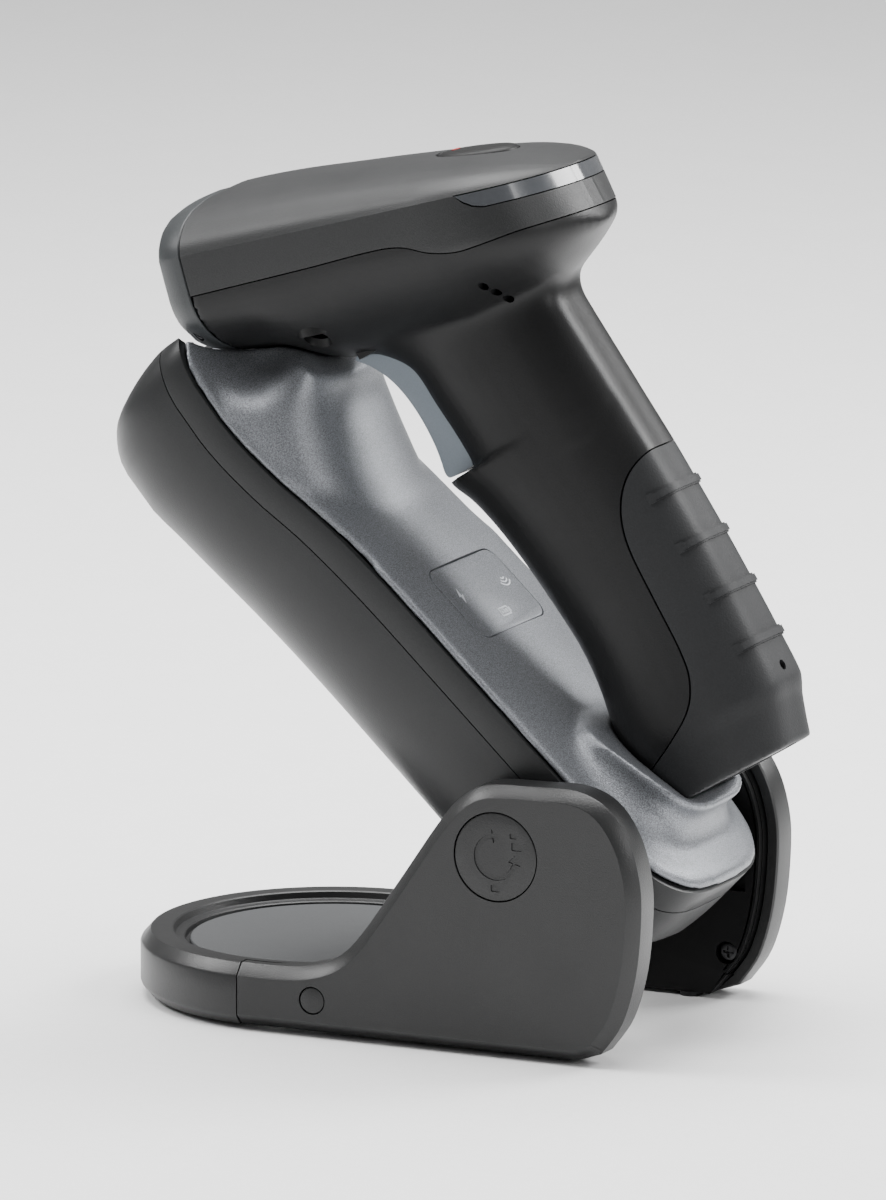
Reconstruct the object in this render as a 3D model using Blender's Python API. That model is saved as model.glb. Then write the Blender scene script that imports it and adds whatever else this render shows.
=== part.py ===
"""Cordless pistol-grip barcode scanner resting in its tilting charging stand.

World frame: +Z up, the floor at Z = 0, the origin on the floor under the centre of the round dish.
The scanner's nose points to -X, the ears of the stand are at the +X end, and Y = 0 is the plane of
symmetry.  Lengths are written in millimetres times MM, so every value is in metres.
"""

import math

import bmesh
import bpy
from mathutils import Matrix, Vector

MM = 0.001
GAP = 0.3 * MM                      # clearance between touching pieces
WELD = 0.002 * MM                   # vertices closer than this are one

# ---- driving dimensions: base ----
BASE_RADIUS = 50 * MM               # round front of the base
RIM_CHAMFER = 3.0 * MM
COVER_START = -3 * MM               # where the side covers begin, along X
COVER_INNER = 38.6 * MM             # inner edge of a side cover, along Y
LINER_INNER = 34.5 * MM             # face of a liner that looks at the arm
FLOOR_GAP = 1.2 * MM                # shells stand this far above the surface, on rubber feet
FEET = ((0, 0, 14), (-34, -22, 4), (-34, 22, 4), (86, -37.6, 2.9), (86, 37.6, 2.9))
CAP_RADIUS = 11.5 * MM
PLUG_RADIUS = 3.4 * MM
PLUG_SPOT = (18.4 * MM, 10 * MM)

# ---- driving dimensions: arm ----
ARM_ORIGIN = Vector((71 * MM, 0, 51.6 * MM))
TILT_AXIS = Vector((70.6 * MM, 0, 52.9 * MM))
ARM_SLOPE = math.radians(43.5)      # the arm rises towards -X at this angle
ARM_HALF_WIDTH = 33.6 * MM
BAND_HEIGHT = 8 * MM
ARM_WALL = 2.2 * MM
PIN_RADIUS = 5.7 * MM

# ---- driving dimensions: scanner ----
HEAD_CENTRE = Vector((0, 0, 200 * MM))
HEAD_HALF_WIDTH = 34.8 * MM
HEAD_PITCH = math.radians(14)       # nose down
HANDLE_FOOT = Vector((118 * MM, 0, 74 * MM))
HANDLE_LEAN = math.radians(31)      # from vertical, top towards the nose
SHELL_WALL = 2.0 * MM
NOSE_SEAM = -26 * MM                # joint of bezel and housing, along the head
NOSE_FRONT = -34.5 * MM
REAR_END = 74.2 * MM
REAR_ROUND = 29.6 * MM              # length over which the back of the head rounds off
REAR_POWER = 2.25                   # squareness of the back in plan
REAR_LEAN = 0.29                   # slope of the head's rear face
GRIP_THICKNESS = 1.5 * MM
BUTTON_X = 47 * MM                  # centre of the top button, along the head
BATTERY_RADIUS = 9.2 * MM

ARM_FRAME = Matrix.Translation(ARM_ORIGIN) @ Matrix.Rotation(ARM_SLOPE, 4, "Y")
HEAD_FRAME = Matrix.Translation(HEAD_CENTRE) @ Matrix.Rotation(-HEAD_PITCH, 4, "Y")
HANDLE_FRAME = Matrix.Translation(HANDLE_FOOT) @ Matrix.Rotation(-HANDLE_LEAN, 4, "Y")
BASE_FRAME = Matrix.Identity(4)


# ---------------------------------------------------------------- helpers

def mm(*values):
    """Turn millimetres into metres."""
    return tuple(value * MM for value in values)


def clear_scene():
    for thing in list(bpy.data.objects):
        bpy.data.objects.remove(thing)


def material(name, colour, roughness, metallic=0.0):
    made = bpy.data.materials.new(name)
    made.use_nodes = True
    shader = made.node_tree.nodes["Principled BSDF"]
    shader.inputs["Base Color"].default_value = (*colour, 1)
    shader.inputs["Roughness"].default_value = roughness
    shader.inputs["Metallic"].default_value = metallic
    made.diffuse_color = (*colour, 1)
    return made


def table(rows):
    """A straight-line interpolation through (x, value) rows given in millimetres."""
    def read(x):
        x = x / MM
        if x <= rows[0][0]:
            return rows[0][1] * MM
        for (x0, v0), (x1, v1) in zip(rows, rows[1:]):
            if x <= x1:
                share = (x - x0) / (x1 - x0)
                return (v0 + (v1 - v0) * share) * MM
        return rows[-1][1] * MM
    return read


def smooth_table(rows):
    """The same rows joined by a monotone-looking cubic (Catmull-Rom slopes)."""
    slopes = []
    for i in range(len(rows)):
        low = rows[max(i - 1, 0)]
        high = rows[min(i + 1, len(rows) - 1)]
        slopes.append((high[1] - low[1]) / (high[0] - low[0]))

    def read(x):
        x = min(max(x / MM, rows[0][0]), rows[-1][0])
        for i in range(len(rows) - 1):
            if x <= rows[i + 1][0]:
                width = rows[i + 1][0] - rows[i][0]
                t = (x - rows[i][0]) / width
                rest = 1 - t
                value = (rows[i][1] * (1 + 2 * t) * rest * rest
                         + slopes[i] * width * t * rest * rest
                         + rows[i + 1][1] * t * t * (3 - 2 * t)
                         - slopes[i + 1] * width * t * t * rest)
                return value * MM
        return rows[-1][1] * MM
    return read


def curve_through(points, steps):
    """An open Catmull-Rom curve through 2-D points, with its own points kept."""
    ends = [points[0]] + list(points) + [points[-1]]
    path = []
    for p0, p1, p2, p3 in zip(ends, ends[1:], ends[2:], ends[3:]):
        for k in range(steps):
            t = k / steps
            path.append(tuple(
                0.5 * (2 * b + (c - a) * t + (2 * a - 5 * b + 4 * c - d) * t * t
                       + (3 * b - a - 3 * c + d) * t ** 3)
                for a, b, c, d in zip(p0, p1, p2, p3)))
    path.append(tuple(points[-1]))
    return path


def finish(name, bm, frame=None):
    """Turn a bmesh into an object of the scene, with its faces pointing out."""
    bmesh.ops.recalc_face_normals(bm, faces=bm.faces)
    if frame is not None:
        bmesh.ops.transform(bm, matrix=frame, verts=bm.verts)
    mesh = bpy.data.meshes.new(name)
    bm.to_mesh(mesh)
    bm.free()
    thing = bpy.data.objects.new(name, mesh)
    bpy.context.scene.collection.objects.link(thing)
    return thing


def extrude_ring(bm, ring, points):
    """Extrude the closed edge loop through ring and move the new loop to points."""
    edges = [bm.edges.get((ring[i - 1], ring[i])) for i in range(len(ring))]
    made = bmesh.ops.extrude_edge_only(bm, edges=edges)["geom"]
    fresh = {item for item in made if isinstance(item, bmesh.types.BMVert)}
    loop = []
    for vert in ring:
        loop.append(next(e.other_vert(vert) for e in vert.link_edges if e.other_vert(vert) in fresh))
    for vert, point in zip(loop, points):
        vert.co = point
    return loop


def loft(name, rings, frame=None, closed=False):
    """One closed body through rings of equal length; closed joins the last ring to the first."""
    bm = bmesh.new()
    first = [bm.verts.new(point) for point in rings[0]]
    for i in range(len(first)):
        bm.edges.new((first[i - 1], first[i]))
    if not closed:
        bm.faces.new(first)
    ring = first
    for points in rings[1:]:
        ring = extrude_ring(bm, ring, points)
    if closed:
        ring = extrude_ring(bm, ring, rings[0])
        bmesh.ops.remove_doubles(bm, verts=bm.verts, dist=1e-6)
    else:
        bm.faces.new(ring)
    return finish(name, bm, frame)


def prism(name, outline, low, high, axis="Y", frame=None):
    """A 2-D outline, extruded from low to high along one axis."""
    def place(point, depth):
        if axis == "Y":
            return Vector((point[0], depth, point[1]))
        if axis == "Z":
            return Vector((point[0], point[1], depth))
        return Vector((depth, point[0], point[1]))
    return loft(name, [[place(p, low) for p in outline], [place(p, high) for p in outline]], frame)


def box(name, low, high, frame=None):
    bm = bmesh.new()
    size = [b - a for a, b in zip(low, high)]
    centre = [(a + b) / 2 for a, b in zip(low, high)]
    place = Matrix.Translation(centre) @ Matrix.Diagonal((*size, 1))
    bmesh.ops.create_cube(bm, size=1, matrix=place)
    return finish(name, bm, frame)


def cylinder(name, centre, radius, low, high, axis="Z", sides=32, top_radius=None, frame=None):
    """A round bar (or a cone) about an axis through centre, from low to high along it."""
    turn = {"Z": Matrix.Identity(4),
            "Y": Matrix.Rotation(math.radians(-90), 4, "X"),
            "X": Matrix.Rotation(math.radians(90), 4, "Y")}[axis]
    shift = Matrix.Translation((0, 0, (low + high) / 2))
    bm = bmesh.new()
    bmesh.ops.create_cone(bm, cap_ends=True, segments=sides, radius1=radius,
                          radius2=radius if top_radius is None else top_radius,
                          depth=high - low, matrix=Matrix.Translation(centre) @ turn @ shift)
    return finish(name, bm, frame)


def turned(name, profile, sides=64):
    """A solid turned about Z from a closed profile of (radius, height) points."""
    bm = bmesh.new()
    verts = [bm.verts.new((radius, 0, height)) for radius, height in profile]
    edges = [bm.edges.new((verts[i], verts[i + 1])) for i in range(len(verts) - 1)]
    if profile[0][0] > 0:
        edges.append(bm.edges.new((verts[-1], verts[0])))
    bmesh.ops.spin(bm, geom=verts + edges, cent=(0, 0, 0), axis=(0, 0, 1),
                   angle=math.tau, steps=sides, use_merge=True)
    bmesh.ops.remove_doubles(bm, verts=bm.verts, dist=1e-6)
    return finish(name, bm)


def rounded_box_outline(half_x, half_y, radius, steps=4, centre=(0, 0)):
    """A rectangle with round corners, as 2-D points."""
    points = []
    for quadrant, (sx, sy) in enumerate(((1, 1), (-1, 1), (-1, -1), (1, -1))):
        for k in range(steps + 1):
            angle = math.radians(90 * (quadrant + k / steps))
            points.append((centre[0] + sx * (half_x - radius) + radius * math.cos(angle),
                           centre[1] + sy * (half_y - radius) + radius * math.sin(angle)))
    return points


def combine(target, tool, operation):
    """Boolean of two bodies; the tool is used up."""
    cut = target.modifiers.new("Boolean", "BOOLEAN")
    cut.object = tool
    cut.operation = operation
    cut.solver = "EXACT"
    bpy.context.view_layer.update()
    graph = bpy.context.evaluated_depsgraph_get()
    mesh = bpy.data.meshes.new_from_object(target.evaluated_get(graph))
    target.modifiers.clear()
    target.data = mesh
    bpy.data.objects.remove(tool)
    bm = bmesh.new()
    bm.from_mesh(mesh)
    bmesh.ops.remove_doubles(bm, verts=bm.verts, dist=WELD)
    bm.to_mesh(mesh)
    bm.free()
    return target


def copy_of(thing, name):
    twin = bpy.data.objects.new(name, thing.data.copy())
    bpy.context.scene.collection.objects.link(twin)
    return twin


def mirrored(thing, name):
    """The far-side twin of a near-side piece."""
    twin = copy_of(thing, name)
    bm = bmesh.new()
    bm.from_mesh(twin.data)
    bmesh.ops.transform(bm, matrix=Matrix.Diagonal((1, -1, 1, 1)), verts=bm.verts)
    bmesh.ops.recalc_face_normals(bm, faces=bm.faces)
    bm.to_mesh(twin.data)
    bm.free()
    return twin


def dress(thing, finish_name, frame, angle=35):
    """Give a piece its name's material, smooth shading and an origin on its body's frame."""
    thing.data.materials.clear()
    thing.data.materials.append(MATERIALS[finish_name])
    thing.data.transform(frame.inverted())
    thing.matrix_world = frame
    thing.data.shade_smooth()
    thing.data.set_sharp_from_angle(angle=math.radians(angle))
    return thing


# ---------------------------------------------------------------- outlines of the scanner

crown_height = smooth_table([(-34, 16.4), (-26, 17.7), (-20, 18.8), (-7, 18.9), (8, 18.1), (27, 16.9),
                             (52, 14.8), (60, 13.4), (68.7, 10.4), (74.2, 7.8)])
crease_height = smooth_table([(-34, 14.5), (-26, 15.2), (8, 15.2), (42, 13.9), (60, 12.0), (69, 9.9),
                              (74.2, 7.6)])
side_height = table([(-34, 4.6), (-26, 5.0), (54, 7.1), (74.2, 7.1)])
seam_height = smooth_table([(-40, -6.6), (-26, -5.8), (8, -4.1), (30, -2.8), (37, -3.4), (44, -6.0),
                            (51, -7.1), (58, -6.4), (68, -5.0), (90, -4.0)])
chin_height = smooth_table([(-34, -22.6), (-26, -24.4), (-13, -25.8), (-6, -29.3), (2, -32.2),
                            (20, -33.0), (42, -32.0), (56, -25.5), (64, -18.0), (70, -12.0), (75.8, -7.6)])
chin_power = table([(-34, 2.1), (-13, 1.95), (10, 1.6), (40, 1.5), (60, 1.7), (76.4, 2.2)])
HEAD_STATIONS = [-26, -20, -13, -6, 2, 10, 20, 30, 37, 44, 51, 57, 62, 66, 69, 71.4, 73.1, 74.0, 74.2]


def head_width(x):
    """Factor of the head's half width: one along the head, falling as the back rounds off."""
    share = min(max((x - (REAR_END - REAR_ROUND)) / REAR_ROUND, 0), 0.996)
    return (1 - share ** REAR_POWER) ** (1 / REAR_POWER)


def head_half_ring(x, inset):
    """Half outline of the head at station x, from the crown down to the chin."""
    factor = head_width(x) * (HEAD_HALF_WIDTH - inset) / HEAD_HALF_WIDTH
    upper = crown_height(x) - inset
    crease = min(crease_height(x) - inset, upper)
    side = side_height(x)
    split = -4.8 * MM
    chin = chin_height(x) + inset
    power = chin_power(x) / MM
    half = [(0, upper),
            (11 * MM, upper - 0.25 * (upper - crease)),
            (22 * MM, crease),
            (28.6 * MM, crease - 0.27 * (crease - side)),
            (33.1 * MM, crease - 0.66 * (crease - side)),
            (HEAD_HALF_WIDTH, side),
            (34.4 * MM, 0.4 * side + 0.6 * split),
            (34.0 * MM, split)]
    reach = half[-1][0]
    for k in range(1, 7):
        angle = math.radians(90 * k / 7)
        half.append((reach * math.cos(angle) ** (2 / power),
                     split + (chin - split) * math.sin(angle) ** (2 / power)))
    half.append((0, chin))
    return [(y * factor, z) for y, z in half]


def head_ring(x, inset=0.0):
    """Closed ring of the head at station x, in the head's frame."""
    half = head_half_ring(x, inset)
    full = half + [(-y, z) for y, z in reversed(half[1:-1])]
    ramp = min(max((x - 50 * MM) / (REAR_END - 50 * MM), 0), 1)
    drawn = inset * max(x - (REAR_END - REAR_ROUND), 0) / REAR_ROUND
    ring = []
    for y, z in full:
        lean = REAR_LEAN * ramp * (z - crown_height(REAR_END))
        ring.append(Vector((x - drawn - lean, y, z)))
    return ring


def head_solid(name, inset=0.0, front=None):
    """The head as one body; inset shrinks it, front moves its front face."""
    rings = [head_ring(x * MM, inset) for x in HEAD_STATIONS]
    if front is not None:
        lead = [Vector((front, p.y, p.z)) for p in rings[0]]
        rings = [lead] + (rings[1:] if front > rings[0][0].x else rings)
    return loft(name, rings, HEAD_FRAME)


handle_front = smooth_table([(-4, -25.2), (10, -27.2), (20, -28.2), (33, -26.2), (44, -25.6), (54, -26.4),
                             (68, -28.2), (81, -30.9), (91, -34.2), (97.5, -38.2), (99, -38.0)])
handle_rear = smooth_table([(-4, 15.4), (2, 17.2), (9, 19.8), (11.5, 21.3), (24, 21.9), (38, 22.1), (53, 21.9),
                            (67, 21.4), (80, 20.8), (92, 19.9), (114, 18.2), (121, 17.7), (126, 17.7),
                            (130, 19.4), (134, 24.0), (137, 29.5), (140, 35.5)])
handle_width = smooth_table([(-4, 16.0), (4, 16.6), (9, 16.8), (12, 17.4), (24, 16.6), (40, 15.8), (60, 15.6),
                             (100, 15.6), (118, 15.7), (126, 15.8), (131, 16.2), (136, 18.2), (142, 24.5)])
HANDLE_STATIONS = [-3, 3, 9, 11.5, 16, 24, 33, 44, 54, 66, 78, 86, 92, 97.4]
NECK_STATIONS = [97.8, 106, 114, 121, 126, 130, 134, 138, 141]
neck_front = smooth_table([(97, -27.4), (108, -27.6), (117, -28.6), (127, -29.6), (131, -31.8), (136, -37.0),
                           (141, -42.0)])


def handle_ring(z, inset=0.0, front=handle_front):
    """Closed ring of the handle at height z along it: round front, flat-backed rear."""
    low = front(z) + inset
    high = handle_rear(z) - inset
    wide = handle_width(z) - inset
    widest = low + 0.56 * (high - low)
    half = [(0, low)]
    for k in range(1, 7):
        angle = math.radians(90 * k / 6)
        half.append((wide * math.sin(angle) ** 0.85, widest - (widest - low) * math.cos(angle) ** 0.85))
    half.append((wide * 0.97, widest + 0.38 * (high - widest)))
    half.append((wide * 0.82, widest + 0.74 * (high - widest)))
    half.append((wide * 0.52, high - 0.5 * MM))
    half.append((0, high))
    full = half + [(-y, x) for y, x in reversed(half[1:-1])]
    return [Vector((x, y, z)) for y, x in full]


def handle_solid(name, inset=0.0, low=None, left_off=0):
    """Lower handle from its foot to the lip under the trigger, or some stations short of it."""
    rings = [handle_ring(z * MM, inset) for z in HANDLE_STATIONS[:len(HANDLE_STATIONS) - left_off]]
    if low is not None:
        rings[0] = [Vector((p.x, p.y, low)) for p in rings[0]]
    return loft(name, rings, HANDLE_FRAME)


def neck_solid(name, inset=0.0):
    """Upper handle behind the trigger, flaring into the head."""
    rings = [handle_ring(z * MM, inset, neck_front) for z in NECK_STATIONS]
    first = [Vector((p.x, p.y, 90 * MM)) for p in rings[0]]
    return loft(name, [first] + rings, HANDLE_FRAME)


# ---------------------------------------------------------------- outlines of the arm (x runs down it, z up from it)

parting_height = smooth_table([(-163, 14.5), (-158, 13.0), (-147, 9.8), (-131, 8.0), (-114, 8.8), (-98, 11.0),
                               (-78, 12.3), (-58, 12.6), (40, 12.6)])
belly_height = smooth_table([(-162, 3.0), (-160.7, -6.0), (-158, -16.5), (-156, -20.0), (-151, -24.0),
                             (-146, -25.7), (-136, -26.9), (-124, -26.0), (-80, -23.8), (0, -24.0),
                             (10, -23.2), (20, -19.8), (28, -14.4), (33, -9.2), (36.8, -3.2), (38.4, 0.6)])


def arm_half_width(x, trim=0.0):
    """Half width of the arm at x: straight sides, squarish round ends."""
    top_end = -162 * MM + trim
    low_end = 38.4 * MM - trim
    if x < -135 * MM:
        share = min((x + 135 * MM) / (top_end + 135 * MM), 1)
        power = 5
    elif x > 5 * MM:
        share = min((x - 5 * MM) / (low_end - 5 * MM), 1)
        power = 3.3
    else:
        share = 0
        power = 2
    return (ARM_HALF_WIDTH - trim) * (1 - share ** power) ** (1 / power)


def arm_stations(trim=0.0, tip=84):
    """Places along the arm, closer together towards its round ends."""
    stations = []
    for degrees in (tip, 74, 62, 48, 32, 14):
        share = math.sin(math.radians(degrees))
        stations.append(-135 * MM - (27 * MM - trim) * share ** (2 / 5))
    stations += [x * MM for x in (-126, -112, -98, -84, -66, -44, -22, 0)]
    for degrees in (14, 32, 48, 62, 74, tip):
        share = math.sin(math.radians(degrees))
        stations.append(5 * MM + (33.4 * MM - trim) * share ** (2 / 3.3))
    return sorted(stations)


def belly_section(x, trim, top):
    """D-shaped section under the parting line, closed by a flat at height top."""
    wide = arm_half_width(x, trim)
    low = min(belly_height(x) + trim, top - 1.5 * MM)
    points = [Vector((x, -wide, top))]
    for k in range(13):
        angle = math.radians(180 * k / 12)
        y = -wide * math.copysign(abs(math.cos(angle)) ** (2 / 2.3), math.cos(angle))
        start = min(parting_height(x) - GAP / 2, top - 0.5 * MM)
        points.append(Vector((x, y, start + (low - start) * math.sin(angle) ** (2 / 2.3))))
    points.append(Vector((x, wide, top)))
    return points


def crown_section(x, wide, bottom, edge, crown):
    """Plate section of the arm's upper shell: flat below, gently crowned above."""
    points = [Vector((x, -wide, bottom)), Vector((x, -wide, bottom + edge))]
    for share in (-0.9, -0.66, -0.36, 0, 0.36, 0.66, 0.9):
        rise = crown * (1 - abs(share) ** 2.2)
        points.append(Vector((x, wide * share, bottom + edge + 0.5 * MM + rise)))
    points += [Vector((x, wide, bottom + edge)), Vector((x, wide, bottom))]
    return points


def oval_ring(centre_x, half_x, half_y, z, power=2.6, count=28):
    """Closed ring of a superellipse at height z in the arm's frame."""
    ring = []
    for k in range(count):
        angle = math.tau * k / count
        x = math.copysign(abs(math.cos(angle)) ** (2 / power), math.cos(angle))
        y = math.copysign(abs(math.sin(angle)) ** (2 / power), math.sin(angle))
        ring.append(Vector((centre_x + half_x * x, half_y * y, z)))
    return ring


# ---------------------------------------------------------------- base

EAR_CURVE = [(-3, 17.5), (8, 17.6), (17, 18.6), (24.5, 21.6), (31, 28.0), (42, 43.5), (53, 59.5),
             (59.5, 67.0), (67, 70.9), (80, 71.6), (92, 71.6), (100.5, 68.0), (106.5, 60.0),
             (109.6, 50.0), (110.2, 40.0), (108.8, 25.0), (105.0, 12.0), (99.0, 3.4)]
EAR_FOOT = 92.4 * MM                # rear end of an ear's flat underside


def ear_outline(inset=0.0, start=COVER_START):
    """Side outline of an ear behind start; inset moves its curved rim inwards."""
    curve = curve_through([mm(*point) for point in EAR_CURVE], 2)
    moved = []
    for before, here, after in zip(curve, curve[1:], curve[2:] + [(EAR_FOOT, FLOOR_GAP)]):
        along = Vector((after[0] - before[0], after[1] - before[1])).normalized()
        moved.append((here[0] + along.y * inset, here[1] - along.x * inset))
    kept = [point for point in moved if point[0] > start + 1 * MM]
    top = (start, kept[0][1])
    return [(start, FLOOR_GAP), top] + kept + [(EAR_FOOT, FLOOR_GAP)]


def base_ring():
    outer = [(0, 13.9), (37.6, 13.9), (38.4, 15.2), (40.4, 15.6), (41.4, 17.56), (47.0, 17.56),
             (50.0, 14.27), (50.0, 3.9), (47.6, 1.2)]
    inner = [(45.4, 1.2), (47.6, 4.4), (47.6, 13.2), (45.8, 15.2), (43.0, 15.2), (40.6, 11.7), (0, 11.7)]
    ring = turned("base_ring", [mm(*point) for point in outer + inner], 56)
    for side in (-1, 1):
        low = (COVER_START, min(side * 34.2, side * 52) * MM, 0)
        high = (60 * MM, max(side * 34.2, side * 52) * MM, 20 * MM)
        ear = box("ear_room", low, high)
        keep = cylinder("keep", (0, 0, 0), 44.0 * MM, -1 * MM, 30 * MM, sides=72)
        combine(ear, keep, "DIFFERENCE")
        combine(ring, ear, "DIFFERENCE")
    port = box("port_room", mm(44, -8.3, 3.6), mm(54, 8.3, 12.4))
    return combine(ring, port, "DIFFERENCE")


def dish_mat():
    return turned("dish_mat", [mm(*p) for p in [(0, 15.2), (36.4, 15.2), (37.0, 14.8), (37.0, 14.2), (0, 14.2)]])


def base_floor():
    disc = cylinder("base_floor", (0, 0, 0), 45 * MM, FLOOR_GAP, FLOOR_GAP + 2 * MM, sides=64)
    for side in (-1, 1):
        low = (COVER_START - GAP, min(side * 34.2, side * 60) * MM, 0)
        high = (70 * MM, max(side * 34.2, side * 60) * MM, 9 * MM)
        combine(disc, box("ear_room", low, high), "DIFFERENCE")
    return disc


def ballast_plate():
    plate = cylinder("ballast_plate", (-6 * MM, 0, 0), 33 * MM, 3.6 * MM, 8.6 * MM, sides=48)
    hole = cylinder("hole", (-6 * MM, 0, 0), 6 * MM, 0, 12 * MM, sides=24)
    return combine(plate, hole, "DIFFERENCE")


def inlet_socket():
    body = box("inlet_socket", mm(38, -8, 3.9), mm(49.6, 8, 11.4))
    mouth = box("mouth", mm(42, -5.6, 5.2), mm(51, 5.6, 10.1))
    return combine(body, mouth, "DIFFERENCE")


def foot(number, spot, radius):
    return cylinder("foot_%d" % number, (*spot, 0), radius, 0, FLOOR_GAP - 0.05 * MM, sides=24,
                    top_radius=radius + 0.2 * MM)


def side_cover(name):
    """Near-side outer shell of an ear, hollow towards the arm, with a chamfered rim."""
    full = ear_outline()
    slim = ear_outline(RIM_CHAMFER)
    slim = [(x, z + (RIM_CHAMFER if z < FLOOR_GAP + 0.1 * MM else 0)) for x, z in slim]
    rings = [[Vector((x, -depth, z)) for x, z in outline]
             for depth, outline in ((COVER_INNER, full), (BASE_RADIUS - RIM_CHAMFER, full), (BASE_RADIUS, slim))]
    cover = loft(name, rings)
    combine(cover, prism("hollow", ear_outline(3 * MM, 3 * MM), -30 * MM, -47.0 * MM), "DIFFERENCE")
    dish = cylinder("dish", (0, 0, 0), 44.0 * MM + GAP, -1 * MM, 30 * MM, sides=72)
    combine(cover, dish, "DIFFERENCE")
    cap_room = cylinder("cap_room", (TILT_AXIS.x, 0, TILT_AXIS.z), CAP_RADIUS + GAP, -60 * MM, -45 * MM, "Y", 48)
    combine(cover, cap_room, "DIFFERENCE")
    plug_room = cylinder("plug_room", (PLUG_SPOT[0], 0, PLUG_SPOT[1]), PLUG_RADIUS + GAP, -60 * MM,
                         -45 * MM, "Y", 24)
    return combine(cover, plug_room, "DIFFERENCE")


def side_liner(name):
    """Inner plate of the near ear: raised rib, latch slot, screw recess and pin hole."""
    plate = prism(name, ear_outline(3.5 * MM, 5 * MM), -LINER_INNER - 1.4 * MM, -41 * MM)
    combine(plate, prism("raised", ear_outline(7.5 * MM, 12 * MM), -LINER_INNER, -38 * MM), "UNION")
    dish = cylinder("dish", (0, 0, 0), 51.5 * MM, -1 * MM, 60 * MM, sides=72)
    combine(dish, box("clear", mm(-10, -60, -2), mm(40, -30, 19.5)), "INTERSECT")
    combine(plate, dish, "DIFFERENCE")
    slot = box("slot", mm(98.6, -36.4, 30.2), mm(102.6, -30, 35.2))
    combine(plate, slot, "DIFFERENCE")
    seat = cylinder("seat", (97 * MM, 0, 12.6 * MM), 3.0 * MM, -38.5 * MM, -30 * MM, "Y", 24)
    combine(plate, seat, "DIFFERENCE")
    shank = cylinder("shank", (97 * MM, 0, 12.6 * MM), 1.3 * MM, -45 * MM, -30 * MM, "Y", 16)
    combine(plate, shank, "DIFFERENCE")
    pin = cylinder("pin", (TILT_AXIS.x, 0, TILT_AXIS.z), PIN_RADIUS + GAP, -45 * MM, -30 * MM, "Y", 32)
    return combine(plate, pin, "DIFFERENCE")


def liner_screw(name):
    spot = (97 * MM, 0, 12.6 * MM)
    screw = cylinder(name, spot, 2.5 * MM, -38.2 * MM, -36.6 * MM, "Y", 20)
    combine(screw, cylinder("shank", spot, 1.0 * MM, -43 * MM, -37.5 * MM, "Y", 12), "UNION")
    for size in ((1.5, 0.35), (0.35, 1.5)):
        low = (spot[0] - size[0] * MM, -37.4 * MM, spot[2] - size[1] * MM)
        high = (spot[0] + size[0] * MM, -36 * MM, spot[2] + size[1] * MM)
        combine(screw, box("recess", low, high), "DIFFERENCE")
    return screw


def pivot_cap(name):
    return cylinder(name, (TILT_AXIS.x, 0, TILT_AXIS.z), CAP_RADIUS, -49.9 * MM, -46.9 * MM, "Y", 48)


def side_plug(name):
    return cylinder(name, (PLUG_SPOT[0], 0, PLUG_SPOT[1]), PLUG_RADIUS, -49.9 * MM, -46.9 * MM, "Y", 24)


def pivot_pin(name):
    centre = (TILT_AXIS.x, 0, TILT_AXIS.z)
    pin = cylinder(name, centre, PIN_RADIUS, -41.2 * MM, -25.3 * MM, "Y", 32)
    flange = cylinder("flange", centre, 9 * MM, -43.2 * MM, -41.3 * MM, "Y", 32)
    combine(pin, cylinder("neck", centre, PIN_RADIUS, -42 * MM, -41 * MM, "Y", 32), "UNION")
    combine(pin, flange, "UNION")
    bore = cylinder("bore", centre, 3.2 * MM, -45 * MM, -20 * MM, "Y", 24)
    return combine(pin, bore, "DIFFERENCE")


def friction_ring(name):
    centre = (TILT_AXIS.x, 0, TILT_AXIS.z)
    ring = cylinder(name, centre, 7.5 * MM, -27.3 * MM, -25.9 * MM, "Y", 32)
    return combine(ring, cylinder("bore", centre, PIN_RADIUS + GAP, -35 * MM, -20 * MM, "Y", 32), "DIFFERENCE")


# ---------------------------------------------------------------- arm

def arm_belly():
    rings = [belly_section(x, 0, parting_height(x) - GAP / 2) for x in arm_stations()]
    belly = loft("arm_belly", rings, ARM_FRAME)
    rings = [belly_section(x, ARM_WALL, 30 * MM) for x in arm_stations(ARM_WALL)]
    combine(belly, loft("hollow", rings, ARM_FRAME), "DIFFERENCE")
    bore = cylinder("bore", (TILT_AXIS.x, 0, TILT_AXIS.z), PIN_RADIUS + GAP, -40 * MM, 40 * MM, "Y", 32)
    combine(belly, bore, "DIFFERENCE")
    return combine(belly, head_room(), "DIFFERENCE")


def arm_band():
    def section(x, trim, low, high):
        wide = arm_half_width(x, trim)
        return [Vector((x, -wide, low)), Vector((x, wide, low)), Vector((x, wide, high)), Vector((x, -wide, high))]
    rings = []
    for x in arm_stations():
        low = parting_height(x) + GAP / 2
        rings.append(section(x, 0, low, low + BAND_HEIGHT - GAP))
    band = loft("arm_band", rings, ARM_FRAME)
    rings = [section(x, ARM_WALL, -20 * MM, 45 * MM) for x in arm_stations(ARM_WALL)]
    combine(band, loft("hollow", rings, ARM_FRAME), "DIFFERENCE")
    return combine(band, head_room(), "DIFFERENCE")


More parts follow.
